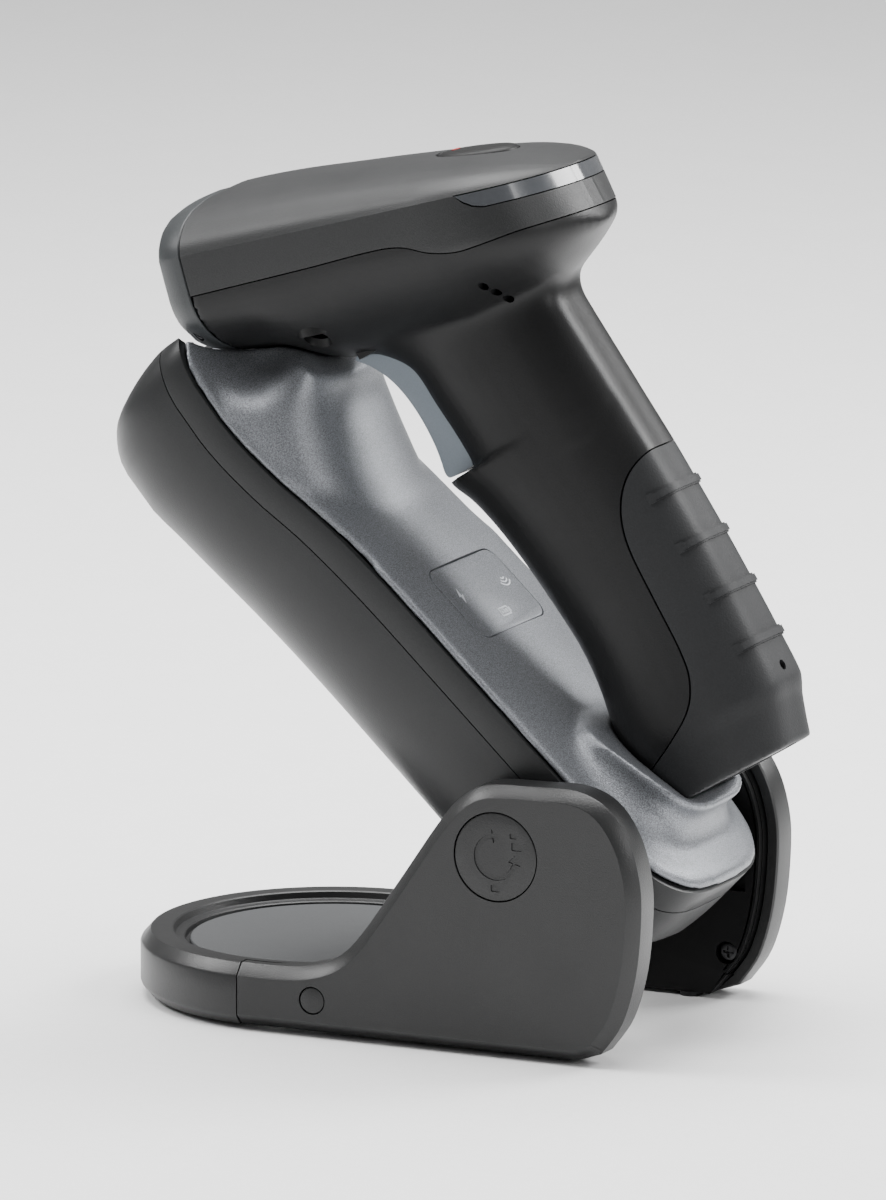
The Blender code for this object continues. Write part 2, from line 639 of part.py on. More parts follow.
def arm_shell():
    """Upper shell with the head's saddle at its top end and the cup for the handle at its foot."""
    rings = []
    for x in arm_stations(0.4 * MM):
        bottom = parting_height(x) + BAND_HEIGHT + GAP / 2
        wide = arm_half_width(x, 0.4 * MM)
        rings.append(crown_section(x, wide, bottom, 1.2 * MM, 2.6 * MM * wide / ARM_HALF_WIDTH))
    shell = loft("arm_shell", rings, ARM_FRAME)
    combine(shell, saddle_wall(), "UNION")
    saddle = [(-127.5, 30.5, 31.0, 19), (-131, 26.0, 27.5, 25), (-134, 20.5, 23.5, 30), (-136, 15.5, 20.5, 34),
              (-137, 12.5, 19.5, 37)]
    rings = [oval_ring(x * MM, a * MM, b * MM, z * MM, 3.0) for x, a, b, z in saddle]
    combine(shell, loft("saddle", rings, ARM_FRAME), "UNION")
    rings = []
    for half_x, half_y, height in ((27, 28, 21.2), (23.5, 24.5, 24), (20.8, 21.6, 27), (20.0, 20.6, 29.5),
                                   (20.2, 21.4, 36)):
        ring = oval_ring(3 * MM, half_x * MM, half_y * MM, height * MM, 3.4)
        for point in ring:
            if height > 24:
                share = (height - 24) / 12
                point.z = 24 * MM + share * (cup_rim(point.x) - 24 * MM)
        rings.append(ring)
    combine(shell, loft("cup", rings, ARM_FRAME), "UNION")
    combine(shell, handle_cutter(), "DIFFERENCE")
    combine(shell, head_room(), "DIFFERENCE")
    panel = prism("panel_room", rounded_box_outline(11.8 * MM, 18.3 * MM, 4.2 * MM, 4, (-59.5 * MM, 0)),
                  23.2 * MM, 30 * MM, "Z", ARM_FRAME)
    return combine(shell, panel, "DIFFERENCE")


def saddle_wall():
    """Skin under the head's room, filling the arm between its belly's walls."""
    trim = ARM_WALL + GAP
    rings = [belly_section(x, trim, parting_height(x) + BAND_HEIGHT + 1 * MM)
             for x in arm_stations(trim) if x < -104 * MM]
    wall = loft("saddle_wall", rings, ARM_FRAME)
    return combine(wall, head_solid("skin", -0.5 * MM - ARM_WALL, -75 * MM), "INTERSECT")


cup_rim = smooth_table([(-20, 26.0), (-15, 27.2), (-10, 30), (0, 33), (9, 35), (17, 36), (24, 36)])


def head_room():
    """Room for the head over the arm's top end, open to the front."""
    return head_solid("head_room", -0.5 * MM, -75 * MM)


def handle_cutter():
    """Room for the handle's foot in the cup, open upwards so that the scanner lifts out."""
    room = handle_solid("handle_room", -0.5 * MM)
    rise = copy_of(room, "rise")
    rise.data.transform(Matrix.Translation(ARM_FRAME.to_3x3() @ Vector((0, 0, 6 * MM))))
    return combine(room, rise, "UNION")


def status_panel():
    outline = rounded_box_outline(11.5 * MM, 18 * MM, 4 * MM, 4, (-59.5 * MM, 0))
    return prism("status_panel", outline, 23.5 * MM, 24.4 * MM, "Z", ARM_FRAME)


def charging_coil():
    """Flat ring coil under the cup."""
    ring = [oval_ring(2 * MM, half * MM, half * MM, z * MM, 2.0, 32)
            for half, z in ((16, 14.2), (16, 16.4), (7, 16.4), (7, 14.2))]
    return loft("charging_coil", ring, ARM_FRAME, closed=True)


def arm_board():
    return box("arm_board", mm(-84, -24, 8.2), mm(-34, 24, 9.8), ARM_FRAME)


def arm_screw(number, x):
    screw = cylinder("arm_screw_%d" % number, (x * MM, 0, 0), 2.6 * MM, -20.5 * MM, -18.9 * MM, sides=20,
                     frame=ARM_FRAME)
    shank = cylinder("shank", (x * MM, 0, 0), 1.25 * MM, -19.5 * MM, -6 * MM, sides=12, frame=ARM_FRAME)
    return combine(screw, shank, "UNION")


# ---------------------------------------------------------------- scanner shells

def seam_prism(name, above, gap):
    """Everything above (or below) the joint of cover and housing, as a wide block."""
    step = 4
    line = [(x * MM, seam_height(x * MM) + (gap if above else -gap)) for x in range(-40, 92, step)]
    far = (70 if above else -70) * MM
    return prism(name, line + [(line[-1][0], far), (line[0][0], far)], -50 * MM, 50 * MM, "Y", HEAD_FRAME)


def strip_region(name, grow):
    """Wedge-ended band that the light strip fills, round the back of the head."""
    low = 3.0 * MM - grow
    high = 7.0 * MM + grow
    outline = [(54.3 * MM - grow, high), (58.0 * MM - grow, low + 0.9 * MM), (60.4 * MM - grow, low),
               (95 * MM, low), (95 * MM, high)]
    return prism(name, outline, -50 * MM, 50 * MM, "Y", HEAD_FRAME)


def button_outline(grow):
    ring = oval_ring(BUTTON_X, 10.8 * MM + grow, 8.2 * MM + grow, 0, 2.3, 32)
    return [(point.x, point.y) for point in ring]


def top_cover():
    cover = head_solid("top_cover", 0, NOSE_SEAM + GAP / 2)
    combine(cover, seam_prism("above", True, GAP / 2), "INTERSECT")
    combine(cover, head_solid("hollow", SHELL_WALL, -45 * MM), "DIFFERENCE")
    combine(cover, strip_region("strip_room", GAP), "DIFFERENCE")
    room = prism("button_room", button_outline(GAP), 8 * MM, 30 * MM, "Z", HEAD_FRAME)
    return combine(cover, room, "DIFFERENCE")


def light_strip():
    strip = head_solid("light_strip", 0)
    combine(strip, strip_region("band", 0), "INTERSECT")
    return combine(strip, head_solid("inside", 1.8 * MM, -45 * MM), "DIFFERENCE")


def top_button():
    low = 12.2 * MM
    rings = []
    for grow, height in ((0, low), (0, 14.7 * MM), (-0.7 * MM, 15.5 * MM), (-2.6 * MM, 16.0 * MM)):
        tilt = 0 if height == low else -0.07
        rings.append([Vector((x, y, height + tilt * (x - BUTTON_X))) for x, y in button_outline(grow)])
    return loft("top_button", rings, HEAD_FRAME)


def grip_region(name, grow):
    """Side outline of the rubber grip: up the rear of the handle and round its foot."""
    seam = curve_through([mm(*point) for point in (
        (30, 81.5), (22, 80.4), (15.5, 77.6), (10.6, 72.6), (7.4, 66), (6.0, 58), (5.8, 44), (5.8, 31),
        (4.6, 23.4), (0.4, 16.8), (-8, 11.8), (-20, 7.4), (-34, 3.4))], 2)
    moved = [(x - grow * 0.9, z + grow * 0.45) for x, z in seam]
    outline = moved + mm_pairs([(-34, -8), (60, -8), (60, 84)])
    outline[-1] = (60 * MM, moved[0][1])
    return prism(name, outline, -40 * MM, 40 * MM, "Y", HANDLE_FRAME)


def mm_pairs(points):
    return [mm(*point) for point in points]


def foot_opening(name, grow, low, high):
    outline = [(p.x, p.y) for p in oval_ring(2.6 * MM, 14.4 * MM + grow, 11.4 * MM + grow, 0, 2.2, 32)]
    return prism(name, outline, low, high, "Z", HANDLE_FRAME)


def grip_overmould():
    grip = handle_solid("grip_overmould", 0)
    combine(grip, grip_region("region", 0), "INTERSECT")
    combine(grip, handle_solid("core", GRIP_THICKNESS, -1.4 * MM), "DIFFERENCE")
    for height in (24.6, 39.5, 54.3, 69.0):
        rib = handle_solid("rib", -0.5 * MM)
        slab = box("slab", mm(13.5, -13.2, height - 1.1), mm(40, 13.2, height + 1.1), HANDLE_FRAME)
        combine(rib, slab, "INTERSECT")
        combine(rib, handle_solid("core", 0.8 * MM, -2.2 * MM), "DIFFERENCE")
        combine(grip, rib, "UNION")
    combine(grip, foot_opening("opening", GAP, -10 * MM, 5 * MM), "DIFFERENCE")
    hole = cylinder("hole", mm(0, 0, 16), 1.4 * MM, 10 * MM, 40 * MM, "X", 16, frame=HANDLE_FRAME)
    return combine(grip, hole, "DIFFERENCE")


def slot_for_trigger(name):
    """Opening for the trigger, from the lip under it up into the head."""
    outline = mm_pairs([(-50, 98.4), (-20.5, 98.4), (-20.5, 139), (-30.5, 144.5), (-41.5, 144.5), (-46.5, 139.6),
                        (-50, 138.8)])
    return prism(name, outline, -8.5 * MM, 8.5 * MM, "Y", HANDLE_FRAME)


def screw_spots():
    return ((1.0, -21.5), (1.0, 21.5))


def main_housing():
    """Lower half of the head and the handle's frame, one hollow moulding."""
    housing = head_solid("main_housing", 0, NOSE_SEAM + GAP / 2)
    combine(housing, seam_prism("below", False, GAP / 2), "INTERSECT")
    handle = handle_solid("handle", 0)
    combine(handle, grip_region("grip_room", GAP), "DIFFERENCE")
    combine(handle, handle_solid("core", GRIP_THICKNESS + GAP, -1.0 * MM, 2), "UNION")
    neck = neck_solid("neck", 0)
    combine(neck, seam_prism("below", False, GAP / 2), "INTERSECT")
    combine(housing, neck, "UNION")
    combine(housing, handle, "UNION")
    combine(housing, head_solid("hollow", SHELL_WALL, -45 * MM), "DIFFERENCE")
    combine(housing, neck_solid("neck_hollow", 2.4 * MM), "DIFFERENCE")
    combine(housing, handle_solid("handle_hollow", 3.6 * MM, 1.6 * MM, 1), "DIFFERENCE")
    combine(housing, slot_for_trigger("slot"), "DIFFERENCE")
    combine(housing, foot_opening("opening", GAP, -10 * MM, 5 * MM), "DIFFERENCE")
    for side in (-1, 1):
        low = (-39.5 * MM, min(side * 8.9, side * 11.4) * MM, 136.8 * MM)
        high = (-32.5 * MM, max(side * 8.9, side * 11.4) * MM, 143.6 * MM)
        combine(housing, box("lug", low, high, HANDLE_FRAME), "UNION")
    bore = cylinder("bore", mm(-36, 0, 140), 1.25 * MM + GAP, -20 * MM, 20 * MM, "Y", 16, frame=HANDLE_FRAME)
    combine(housing, bore, "DIFFERENCE")
    for x, y in screw_spots():
        boss = cylinder("boss", mm(x, y, 0), 4.8 * MM, -22 * MM, -9 * MM, sides=24, frame=HEAD_FRAME)
        combine(housing, boss, "UNION")
        seat = cylinder("seat", mm(x, y, 0), 3.4 * MM, -40 * MM, -15 * MM, sides=24, frame=HEAD_FRAME)
        combine(housing, seat, "DIFFERENCE")
        shank = cylinder("shank", mm(x, y, 0), 1.6 * MM, -20 * MM, 0, sides=16, frame=HEAD_FRAME)
        combine(housing, shank, "DIFFERENCE")
    for x, z in ((7.2, 137.2), (9.4, 134.4), (11.6, 131.6)):
        hole = cylinder("hole", mm(x, 0, z), 1.2 * MM, -40 * MM, -5 * MM, "Y", 16, frame=HANDLE_FRAME)
        combine(housing, hole, "DIFFERENCE")
    return housing


def case_screw(name, spot):
    x, y = spot
    screw = cylinder(name, mm(x, y, 0), 2.9 * MM, -17.4 * MM, -15.3 * MM, sides=20, frame=HEAD_FRAME)
    shank = cylinder("shank", mm(x, y, 0), 1.25 * MM, -16 * MM, -4 * MM, sides=12, frame=HEAD_FRAME)
    combine(screw, shank, "UNION")
    for size in ((1.7, 0.4), (0.4, 1.7)):
        low = mm(x - size[0], y - size[1], -18)
        high = mm(x + size[0], y + size[1], -16.5)
        combine(screw, box("recess", low, high, HEAD_FRAME), "DIFFERENCE")
    return screw


def bottom_cap():
    return foot_opening("bottom_cap", 0, -2.8 * MM, 0.8 * MM)


def nose_bezel():
    """Frame that holds the window, narrowing towards the front."""
    base = head_ring(NOSE_SEAM)
    rings = []
    for x, wide, tall in ((-26.15, 1.0, 1.0), (-28.5, 0.99, 0.995), (-31.5, 0.95, 0.97), (-33.7, 0.9, 0.935),
                          (-34.5, 0.875, 0.91)):
        rings.append([Vector((x * MM, p.y * wide, -3.4 * MM + (p.z + 3.4 * MM) * tall)) for p in base])
    bezel = loft("nose_bezel", rings, HEAD_FRAME)
    mouth = []
    for x, grow in ((-36, 3.4), (-31, 0)):
        outline = rounded_box_outline((25 + grow) * MM, (12.6 + grow) * MM, 5 * MM, 4, (0, -3.2 * MM))
        mouth.append([Vector((x * MM, y, z)) for y, z in outline])
    combine(bezel, loft("mouth", mouth, HEAD_FRAME), "DIFFERENCE")
    seat = rounded_box_outline(27.6 * MM, 15.2 * MM, 5 * MM, 4, (0, -3.2 * MM))
    return combine(bezel, prism("seat", seat, -31.3 * MM, -20 * MM, "X", HEAD_FRAME), "DIFFERENCE")


def window_plate(name, half_y, half_z, low, high):
    outline = rounded_box_outline(half_y * MM, half_z * MM, 4.6 * MM, 4, (0, -3.2 * MM))
    return prism(name, outline, low * MM, high * MM, "X", HEAD_FRAME)


def window_gasket():
    ring = window_plate("window_gasket", 27.2, 14.8, -29.1, -27.6)
    return combine(ring, window_plate("hole", 24.2, 11.8, -32, -25), "DIFFERENCE")


# ---------------------------------------------------------------- scanner insides

def imager_body():
    return box("imager_body", mm(-11.7, -11, -11.5), mm(3, 11, 4.2), HEAD_FRAME)


def lens_barrel():
    barrel = cylinder("lens_barrel", mm(0, 0, -3.4), 5 * MM, -23 * MM, -12 * MM, "X", 28, frame=HEAD_FRAME)
    mouth = cylinder("mouth", mm(0, 0, -3.4), 3.6 * MM, -26 * MM, -19 * MM, "X", 24, frame=HEAD_FRAME)
    return combine(barrel, mouth, "DIFFERENCE")


def led_board():
    board = box("led_board", mm(-19.6, -22, -12.5), mm(-18, 22, 4.5), HEAD_FRAME)
    for y in (-15, 15):
        led = cylinder("led", mm(0, y, -3.4), 3 * MM, -21.5 * MM, -18.5 * MM, "X", 20, frame=HEAD_FRAME)
        combine(board, led, "UNION")
    hole = cylinder("hole", mm(0, 0, -3.4), 5.5 * MM, -25 * MM, -15 * MM, "X", 28, frame=HEAD_FRAME)
    return combine(board, hole, "DIFFERENCE")


def main_board():
    board = box("main_board", mm(-14, -23, 5.2), mm(60, 23, 6.8), HEAD_FRAME)
    for low, high in (((12, -8, 6.5), (24, 6, 8.4)), ((-8, 6, 6.5), (4, 16, 8.2)), ((14, -20, 3.4), (26, -12, 5.5))):
        combine(board, box("chip", mm(*low), mm(*high), HEAD_FRAME), "UNION")
    return board


def button_switch():
    body = box("button_switch", mm(44, -3, 7.1), mm(50, 3, 10.2), HEAD_FRAME)
    stem = cylinder("stem", (BUTTON_X, 0, 0), 1.7 * MM, 9.8 * MM, 11.2 * MM, sides=16, frame=HEAD_FRAME)
    return combine(body, stem, "UNION")


def beeper():
    return cylinder("beeper", mm(6, 0, 133.5), 5 * MM, -10.6 * MM, -7.2 * MM, "Y", 28, frame=HANDLE_FRAME)


def vibration_motor():
    motor = cylinder("vibration_motor", mm(6, 0, 0), 3.4 * MM, 88 * MM, 100 * MM, sides=24, frame=HANDLE_FRAME)
    shaft = cylinder("shaft", mm(6, 0, 0), 1 * MM, 99 * MM, 103 * MM, sides=12, frame=HANDLE_FRAME)
    return combine(motor, shaft, "UNION")


def battery():
    cell = cylinder("battery", mm(-2, 0, 0), BATTERY_RADIUS, 16 * MM, 80 * MM, sides=36, frame=HANDLE_FRAME)
    pole = cylinder("pole", mm(-2, 0, 0), 3 * MM, 79 * MM, 81.2 * MM, sides=20, frame=HANDLE_FRAME)
    return combine(cell, pole, "UNION")


def coil_spring(name, centre, radius, wire, low, high, turns, axis, frame, sides=5):
    """A wire helix about an axis through centre."""
    count = turns * 10
    rings = []
    for i in range(count + 1):
        angle = math.tau * turns * i / count
        rise = low + (high - low) * i / count
        ring = []
        for k in range(sides):
            phase = math.tau * k / sides
            reach = radius + wire * math.cos(phase)
            lift = rise + wire * math.sin(phase)
            flat = (reach * math.cos(angle), reach * math.sin(angle))
            local = (lift, flat[0], flat[1]) if axis == "X" else (flat[0], flat[1], lift)
            ring.append(Vector(local) + Vector(centre))
        rings.append(ring)
    return loft(name, rings, frame)


def receiver_coil():
    rings = []
    for radius, x in ((6.4, -19.6), (6.4, -18.2), (3.4, -18.2), (3.4, -19.6)):
        ring = [Vector(mm(x, radius * math.cos(a), 16 + radius * math.sin(a)))
                for a in [math.tau * k / 28 for k in range(28)]]
        rings.append(ring)
    return loft("receiver_coil", rings, HANDLE_FRAME, closed=True)


def trigger():
    """Blade with a concave finger face, hung on its pin under the head."""
    front = curve_through(mm_pairs([(-44.8, 136.6), (-41.8, 133.2), (-39.2, 128.6), (-37.6, 123), (-37.0, 116),
                                    (-37.2, 109), (-37.9, 104), (-38.2, 101.4), (-36.6, 99.7)]), 3)
    back = mm_pairs([(-26.4, 99.7), (-25.6, 103), (-25.4, 122), (-28.0, 130), (-32.0, 136.4), (-32.4, 140),
                     (-33.6, 142.6), (-36, 143.5), (-38.4, 142.6), (-40.4, 139.2)])
    blade = prism("trigger", front + back, -8 * MM, 8 * MM, "Y", HANDLE_FRAME)
    bm = bmesh.new()
    bm.from_mesh(blade.data)
    inverse = HANDLE_FRAME.inverted()
    rim = []
    for edge in bm.edges:
        ends = [inverse @ vert.co for vert in edge.verts]
        same_side = abs(ends[0].y - ends[1].y) < 1e-6
        if same_side and max(e.x for e in ends) < -36.4 * MM and max(e.z for e in ends) < 136.8 * MM:
            rim.append(edge)
    bmesh.ops.bevel(bm, geom=rim, offset=1.6 * MM, segments=2, profile=0.5, affect="EDGES", material=-1,
                    clamp_overlap=True)
    bm.to_mesh(blade.data)
    bm.free()
    bore = cylinder("bore", mm(-36, 0, 140), 1.25 * MM + GAP, -20 * MM, 20 * MM, "Y", 16, frame=HANDLE_FRAME)
    return combine(blade, bore, "DIFFERENCE")


def trigger_pin():
    return cylinder("trigger_pin", mm(-36, 0, 140), 1.25 * MM, -11.2 * MM, 11.2 * MM, "Y", 16,
                    frame=HANDLE_FRAME)


def trigger_switch():
    body = box("trigger_switch", mm(-19.6, -3, 108), mm(-14, 3, 114), HANDLE_FRAME)
    stem = cylinder("stem", mm(0, 0, 111), 1.5 * MM, -22.2 * MM, -19 * MM, "X", 16, frame=HANDLE_FRAME)
    return combine(body, stem, "UNION")


# ---------------------------------------------------------------- assembly

MATERIALS = {}


def make_materials():
    MATERIALS["charcoal"] = material("charcoal_moulding", (0.045, 0.048, 0.05), 0.48)
    MATERIALS["graphite"] = material("graphite_moulding", (0.16, 0.165, 0.175), 0.36, 0.25)
    MATERIALS["rubber"] = material("soft_rubber", (0.05, 0.052, 0.055), 0.7)
    MATERIALS["blue_grey"] = material("blue_grey_moulding", (0.34, 0.39, 0.43), 0.35)
    MATERIALS["glass"] = material("tinted_glass", (0.03, 0.02, 0.03), 0.08)
    MATERIALS["smoke"] = material("smoky_light_guide", (0.2, 0.21, 0.23), 0.12)
    MATERIALS["steel"] = material("bright_steel", (0.6, 0.6, 0.6), 0.3, 1.0)
    MATERIALS["board"] = material("board_green", (0.03, 0.16, 0.07), 0.5)
    MATERIALS["copper"] = material("copper_winding", (0.7, 0.35, 0.18), 0.35, 1.0)
    MATERIALS["black"] = material("black_moulding", (0.015, 0.015, 0.016), 0.5)


def build_base():
    still = BASE_FRAME
    dress(base_ring(), "charcoal", still)
    dress(dish_mat(), "rubber", still)
    dress(base_floor(), "black", still)
    dress(ballast_plate(), "steel", still)
    dress(inlet_socket(), "black", still)
    for number, (x, y, radius) in enumerate(FEET, 1):
        dress(foot(number, mm(x, y), radius * MM), "rubber", still)
    pieces = ((side_cover, "side_cover", "charcoal"), (side_liner, "side_liner", "black"),
              (liner_screw, "liner_screw", "steel"), (pivot_cap, "pivot_cap", "charcoal"),
              (side_plug, "side_plug", "charcoal"), (pivot_pin, "pivot_pin", "steel"),
              (friction_ring, "friction_ring", "steel"))
    for make, label, finish_name in pieces:
        near = make(label + "_near")
        dress(mirrored(near, label + "_far"), finish_name, still)
        dress(near, finish_name, still)


def build_arm():
    dress(arm_belly(), "charcoal", ARM_FRAME)
    dress(arm_band(), "charcoal", ARM_FRAME)
    dress(arm_shell(), "graphite", ARM_FRAME)
    dress(status_panel(), "graphite", ARM_FRAME)
    dress(charging_coil(), "copper", ARM_FRAME)
    dress(arm_board(), "board", ARM_FRAME)
    for number, x in enumerate((-100, -30), 1):
        dress(arm_screw(number, x), "steel", ARM_FRAME)


def build_scanner():
    dress(main_housing(), "charcoal", HEAD_FRAME, 28)
    dress(top_cover(), "charcoal", HEAD_FRAME, 20)
    dress(light_strip(), "smoke", HEAD_FRAME, 30)
    dress(nose_bezel(), "charcoal", HEAD_FRAME, 20)
    dress(window_plate("scan_window", 27.2, 14.8, -30.9, -29.5), "glass", HEAD_FRAME)
    dress(window_gasket(), "rubber", HEAD_FRAME)
    dress(grip_overmould(), "rubber", HEAD_FRAME, 28)
    dress(bottom_cap(), "charcoal", HEAD_FRAME)
    dress(imager_body(), "black", HEAD_FRAME)
    dress(lens_barrel(), "black", HEAD_FRAME)
    dress(led_board(), "board", HEAD_FRAME)
    dress(main_board(), "board", HEAD_FRAME)
    dress(button_switch(), "black", HEAD_FRAME)
    dress(beeper(), "black", HEAD_FRAME)
    dress(vibration_motor(), "steel", HEAD_FRAME)
    dress(battery(), "blue_grey", HEAD_FRAME)
    spring = coil_spring("battery_spring", mm(-2, 0, 0), 4.5 * MM, 0.45 * MM, 2 * MM, 14.8 * MM, 4, "Z",
                         HANDLE_FRAME)
    dress(spring, "steel", HEAD_FRAME)
    dress(receiver_coil(), "copper", HEAD_FRAME)
    dress(trigger_pin(), "steel", HEAD_FRAME)
    spring = coil_spring("trigger_spring", mm(0, 0, 120.5), 2.2 * MM, 0.35 * MM, -24.6 * MM, -16 * MM, 4, "X",
                         HANDLE_FRAME)
    dress(spring, "steel", HEAD_FRAME)
    dress(trigger_switch(), "black", HEAD_FRAME)
    for label, spot in zip(("near", "far"), screw_spots()):
        dress(case_screw("case_screw_" + label, spot), "steel", HEAD_FRAME)
    dress(trigger(), "blue_grey", HANDLE_FRAME @ Matrix.Translation(mm(-36, 0, 140)))
    dress(top_button(), "black", HEAD_FRAME @ Matrix.Translation((BUTTON_X, 0, 15 * MM)), 25)


clear_scene()
make_materials()
build_base()
build_arm()
build_scanner()
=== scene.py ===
"""Finished look of a cordless barcode scanner that rests in its tilting charging stand."""
import math

import bmesh
import bpy
from mathutils import Matrix, Vector


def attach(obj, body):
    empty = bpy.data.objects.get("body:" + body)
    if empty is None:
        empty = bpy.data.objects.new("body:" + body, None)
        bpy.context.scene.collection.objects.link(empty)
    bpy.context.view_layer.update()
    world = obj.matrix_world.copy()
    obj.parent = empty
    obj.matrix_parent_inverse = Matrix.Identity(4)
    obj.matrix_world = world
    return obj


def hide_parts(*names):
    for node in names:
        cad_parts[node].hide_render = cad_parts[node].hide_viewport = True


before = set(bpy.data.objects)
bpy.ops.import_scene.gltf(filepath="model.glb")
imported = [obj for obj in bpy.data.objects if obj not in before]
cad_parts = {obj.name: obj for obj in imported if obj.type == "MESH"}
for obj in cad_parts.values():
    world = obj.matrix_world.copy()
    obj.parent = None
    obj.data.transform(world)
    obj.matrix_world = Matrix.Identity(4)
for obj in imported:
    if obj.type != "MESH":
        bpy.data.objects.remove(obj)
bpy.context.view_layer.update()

MM = 0.001
SEAM_GAP = 0.34 * MM           # between top cover, housing and bezel
BUTTON_GAP = 0.3 * MM          # round the button, the light strip and the bottom cap
ARM_GAP = 0.15 * MM            # half the joint between belly, band and arm top
REST_GAP = 0.5 * MM            # between the resting scanner and the arm

FLOOR_GAP = 1.2 * MM           # the feet lift the base by this much
DISH_ROUND = 43.9 * MM         # the base ring's round inside the ears
TILT_AXIS = Vector((70.6 * MM, 0, 52.9 * MM))
PLUG_SPOT = Vector((18.4 * MM, 0, 10 * MM))
LINER_SCREW_SPOT = (97 * MM, 0, 12.6 * MM)

ARM_HALF_WIDTH = 33.6 * MM
ARM_WALL = 2.2 * MM
ARM_TOP_TRIM = 0.4 * MM        # the arm top stands this much inside the band
ARM_TOP_END = -135 * MM        # where the straight sides end at the saddle
ARM_FOOT_END = 5 * MM          # where the straight sides end at the cup
BAND_HEIGHT = 8 * MM
PANEL_X = -59.5 * MM
CUP_X = 3 * MM

HEAD_HALF_WIDTH = 34.8 * MM
HEAD_WALL = 2 * MM
HEAD_SPLIT = -4.8 * MM         # where the upright side turns into the round chin
HOLLOW_FRONT = -45 * MM        # past the nose, so that the hollow is open there
SADDLE_FRONT = -75 * MM        # past the arm's top end
NOSE_SEAM = -26 * MM
NOSE_MIDDLE = -3.4 * MM
WINDOW_MIDDLE = (0, -3.2 * MM)
REAR_END = 74.2 * MM
REAR_ROUND = 29.6 * MM
REAR_POWER = 2.25
REAR_LEAN = 0.29
BUTTON_X = 47 * MM
BUTTON_TILT = -0.07            # fall of the button's face towards the rear

HANDLE_START = -3              # millimetres along the handle
NECK_START = 97.8
NECK_LENGTH = 43.2
RIB_HEIGHTS = (24.6, 39.5, 54.3, 69.0)

CAMERA_TURN = math.radians(25.42)
CAMERA_LIFT = math.radians(11.64)
CAMERA_LENS = 420
CAMERA_AWAY = 3657.7
CAMERA_AIM = (28.97, 102.27)   # right and up from the origin, as the camera sees it

ARM_FRAME = Matrix.Translation((71 * MM, 0, 51.6 * MM)) @ Matrix.Rotation(math.radians(43.5), 4, "Y")
HEAD_FRAME = Matrix.Translation((0, 0, 200 * MM)) @ Matrix.Rotation(math.radians(-14), 4, "Y")
HANDLE_FRAME = Matrix.Translation((118 * MM, 0, 74 * MM)) @ Matrix.Rotation(math.radians(-31), 4, "Y")
MIRROR = Matrix.Diagonal((1, -1, 1, 1))


# ---------------------------------------------------------------- maker's tools

def mm(*values):
    return tuple(value * MM for value in values)


def mm_pairs(points):
    return [mm(*point) for point in points]


def smooth_table(rows):
    """A cubic through (x, value) rows given in millimetres."""
    slopes = []
    for i in range(len(rows)):
        low, high = rows[max(i - 1, 0)], rows[min(i + 1, len(rows) - 1)]
        slopes.append((high[1] - low[1]) / (high[0] - low[0]))

    def read(x):
        x = min(max(x / MM, rows[0][0]), rows[-1][0])
        i = next(k for k in range(len(rows) - 1) if x <= rows[k + 1][0])
        width = rows[i + 1][0] - rows[i][0]
        t = (x - rows[i][0]) / width
        rest = 1 - t
        return (rows[i][1] * (1 + 2 * t) * rest * rest + slopes[i] * width * t * rest * rest
                + rows[i + 1][1] * t * t * (3 - 2 * t) - slopes[i + 1] * width * t * t * rest) * MM
    return read


def curve_through(points, steps):
    """An open Catmull-Rom curve through points, with its own points kept."""
    ends = [points[0]] + list(points) + [points[-1]]
    path = []
    for p0, p1, p2, p3 in zip(ends, ends[1:], ends[2:], ends[3:]):
        for k in range(steps):
            t = k / steps
            path.append(tuple(0.5 * (2 * b + (c - a) * t + (2 * a - 5 * b + 4 * c - d) * t * t
                                     + (3 * b - a - 3 * c + d) * t ** 3)
                              for a, b, c, d in zip(p0, p1, p2, p3)))
    path.append(tuple(points[-1]))
    return path


def finish(name, bm, place=None):
    """Turn a bmesh into an object, its place in its mesh and its faces pointing out."""
    bmesh.ops.recalc_face_normals(bm, faces=bm.faces)
    if place is not None:
        bmesh.ops.transform(bm, matrix=place, verts=bm.verts)
    mesh = bpy.data.meshes.new(name)
    bm.to_mesh(mesh)
    bm.free()
    thing = bpy.data.objects.new(name, mesh)
    bpy.context.scene.collection.objects.link(thing)
    return thing


def extrude_ring(bm, ring, points):
    """Extrude the closed edge loop through ring and set the new loop on points."""
    edges = [bm.edges.get((ring[i - 1], ring[i])) for i in range(len(ring))]
    made = bmesh.ops.extrude_edge_only(bm, edges=edges)["geom"]
    fresh = {item for item in made if isinstance(item, bmesh.types.BMVert)}
    loop = [next(e.other_vert(v) for e in v.link_edges if e.other_vert(v) in fresh) for v in ring]
    for vert, point in zip(loop, points):
        vert.co = point
    return loop


def loft(name, rings, place=None):
    """One closed body through rings of equal length."""
    bm = bmesh.new()
    ring = [bm.verts.new(point) for point in rings[0]]
    for i in range(len(ring)):
        bm.edges.new((ring[i - 1], ring[i]))
    bm.faces.new(ring)
    for points in rings[1:]:
        ring = extrude_ring(bm, ring, points)
    bm.faces.new(ring)
    return finish(name, bm, place)


def prism(name, outline, low, high, axis="Y", place=None):
    """A flat outline, extruded from low to high along one axis."""
    def put(point, depth):
        if axis == "Y":
            return Vector((point[0], depth, point[1]))
        if axis == "Z":
            return Vector((point[0], point[1], depth))
        return Vector((depth, point[0], point[1]))
    return loft(name, [[put(p, low) for p in outline], [put(p, high) for p in outline]], place)


def box(name, low, high, place=None):
    """A block between two corners."""
    bm = bmesh.new()
    size = [b - a for a, b in zip(low, high)]
    centre = [(a + b) / 2 for a, b in zip(low, high)]
    bmesh.ops.create_cube(bm, size=1, matrix=Matrix.Translation(centre) @ Matrix.Diagonal((*size, 1)))
    return finish(name, bm, place)


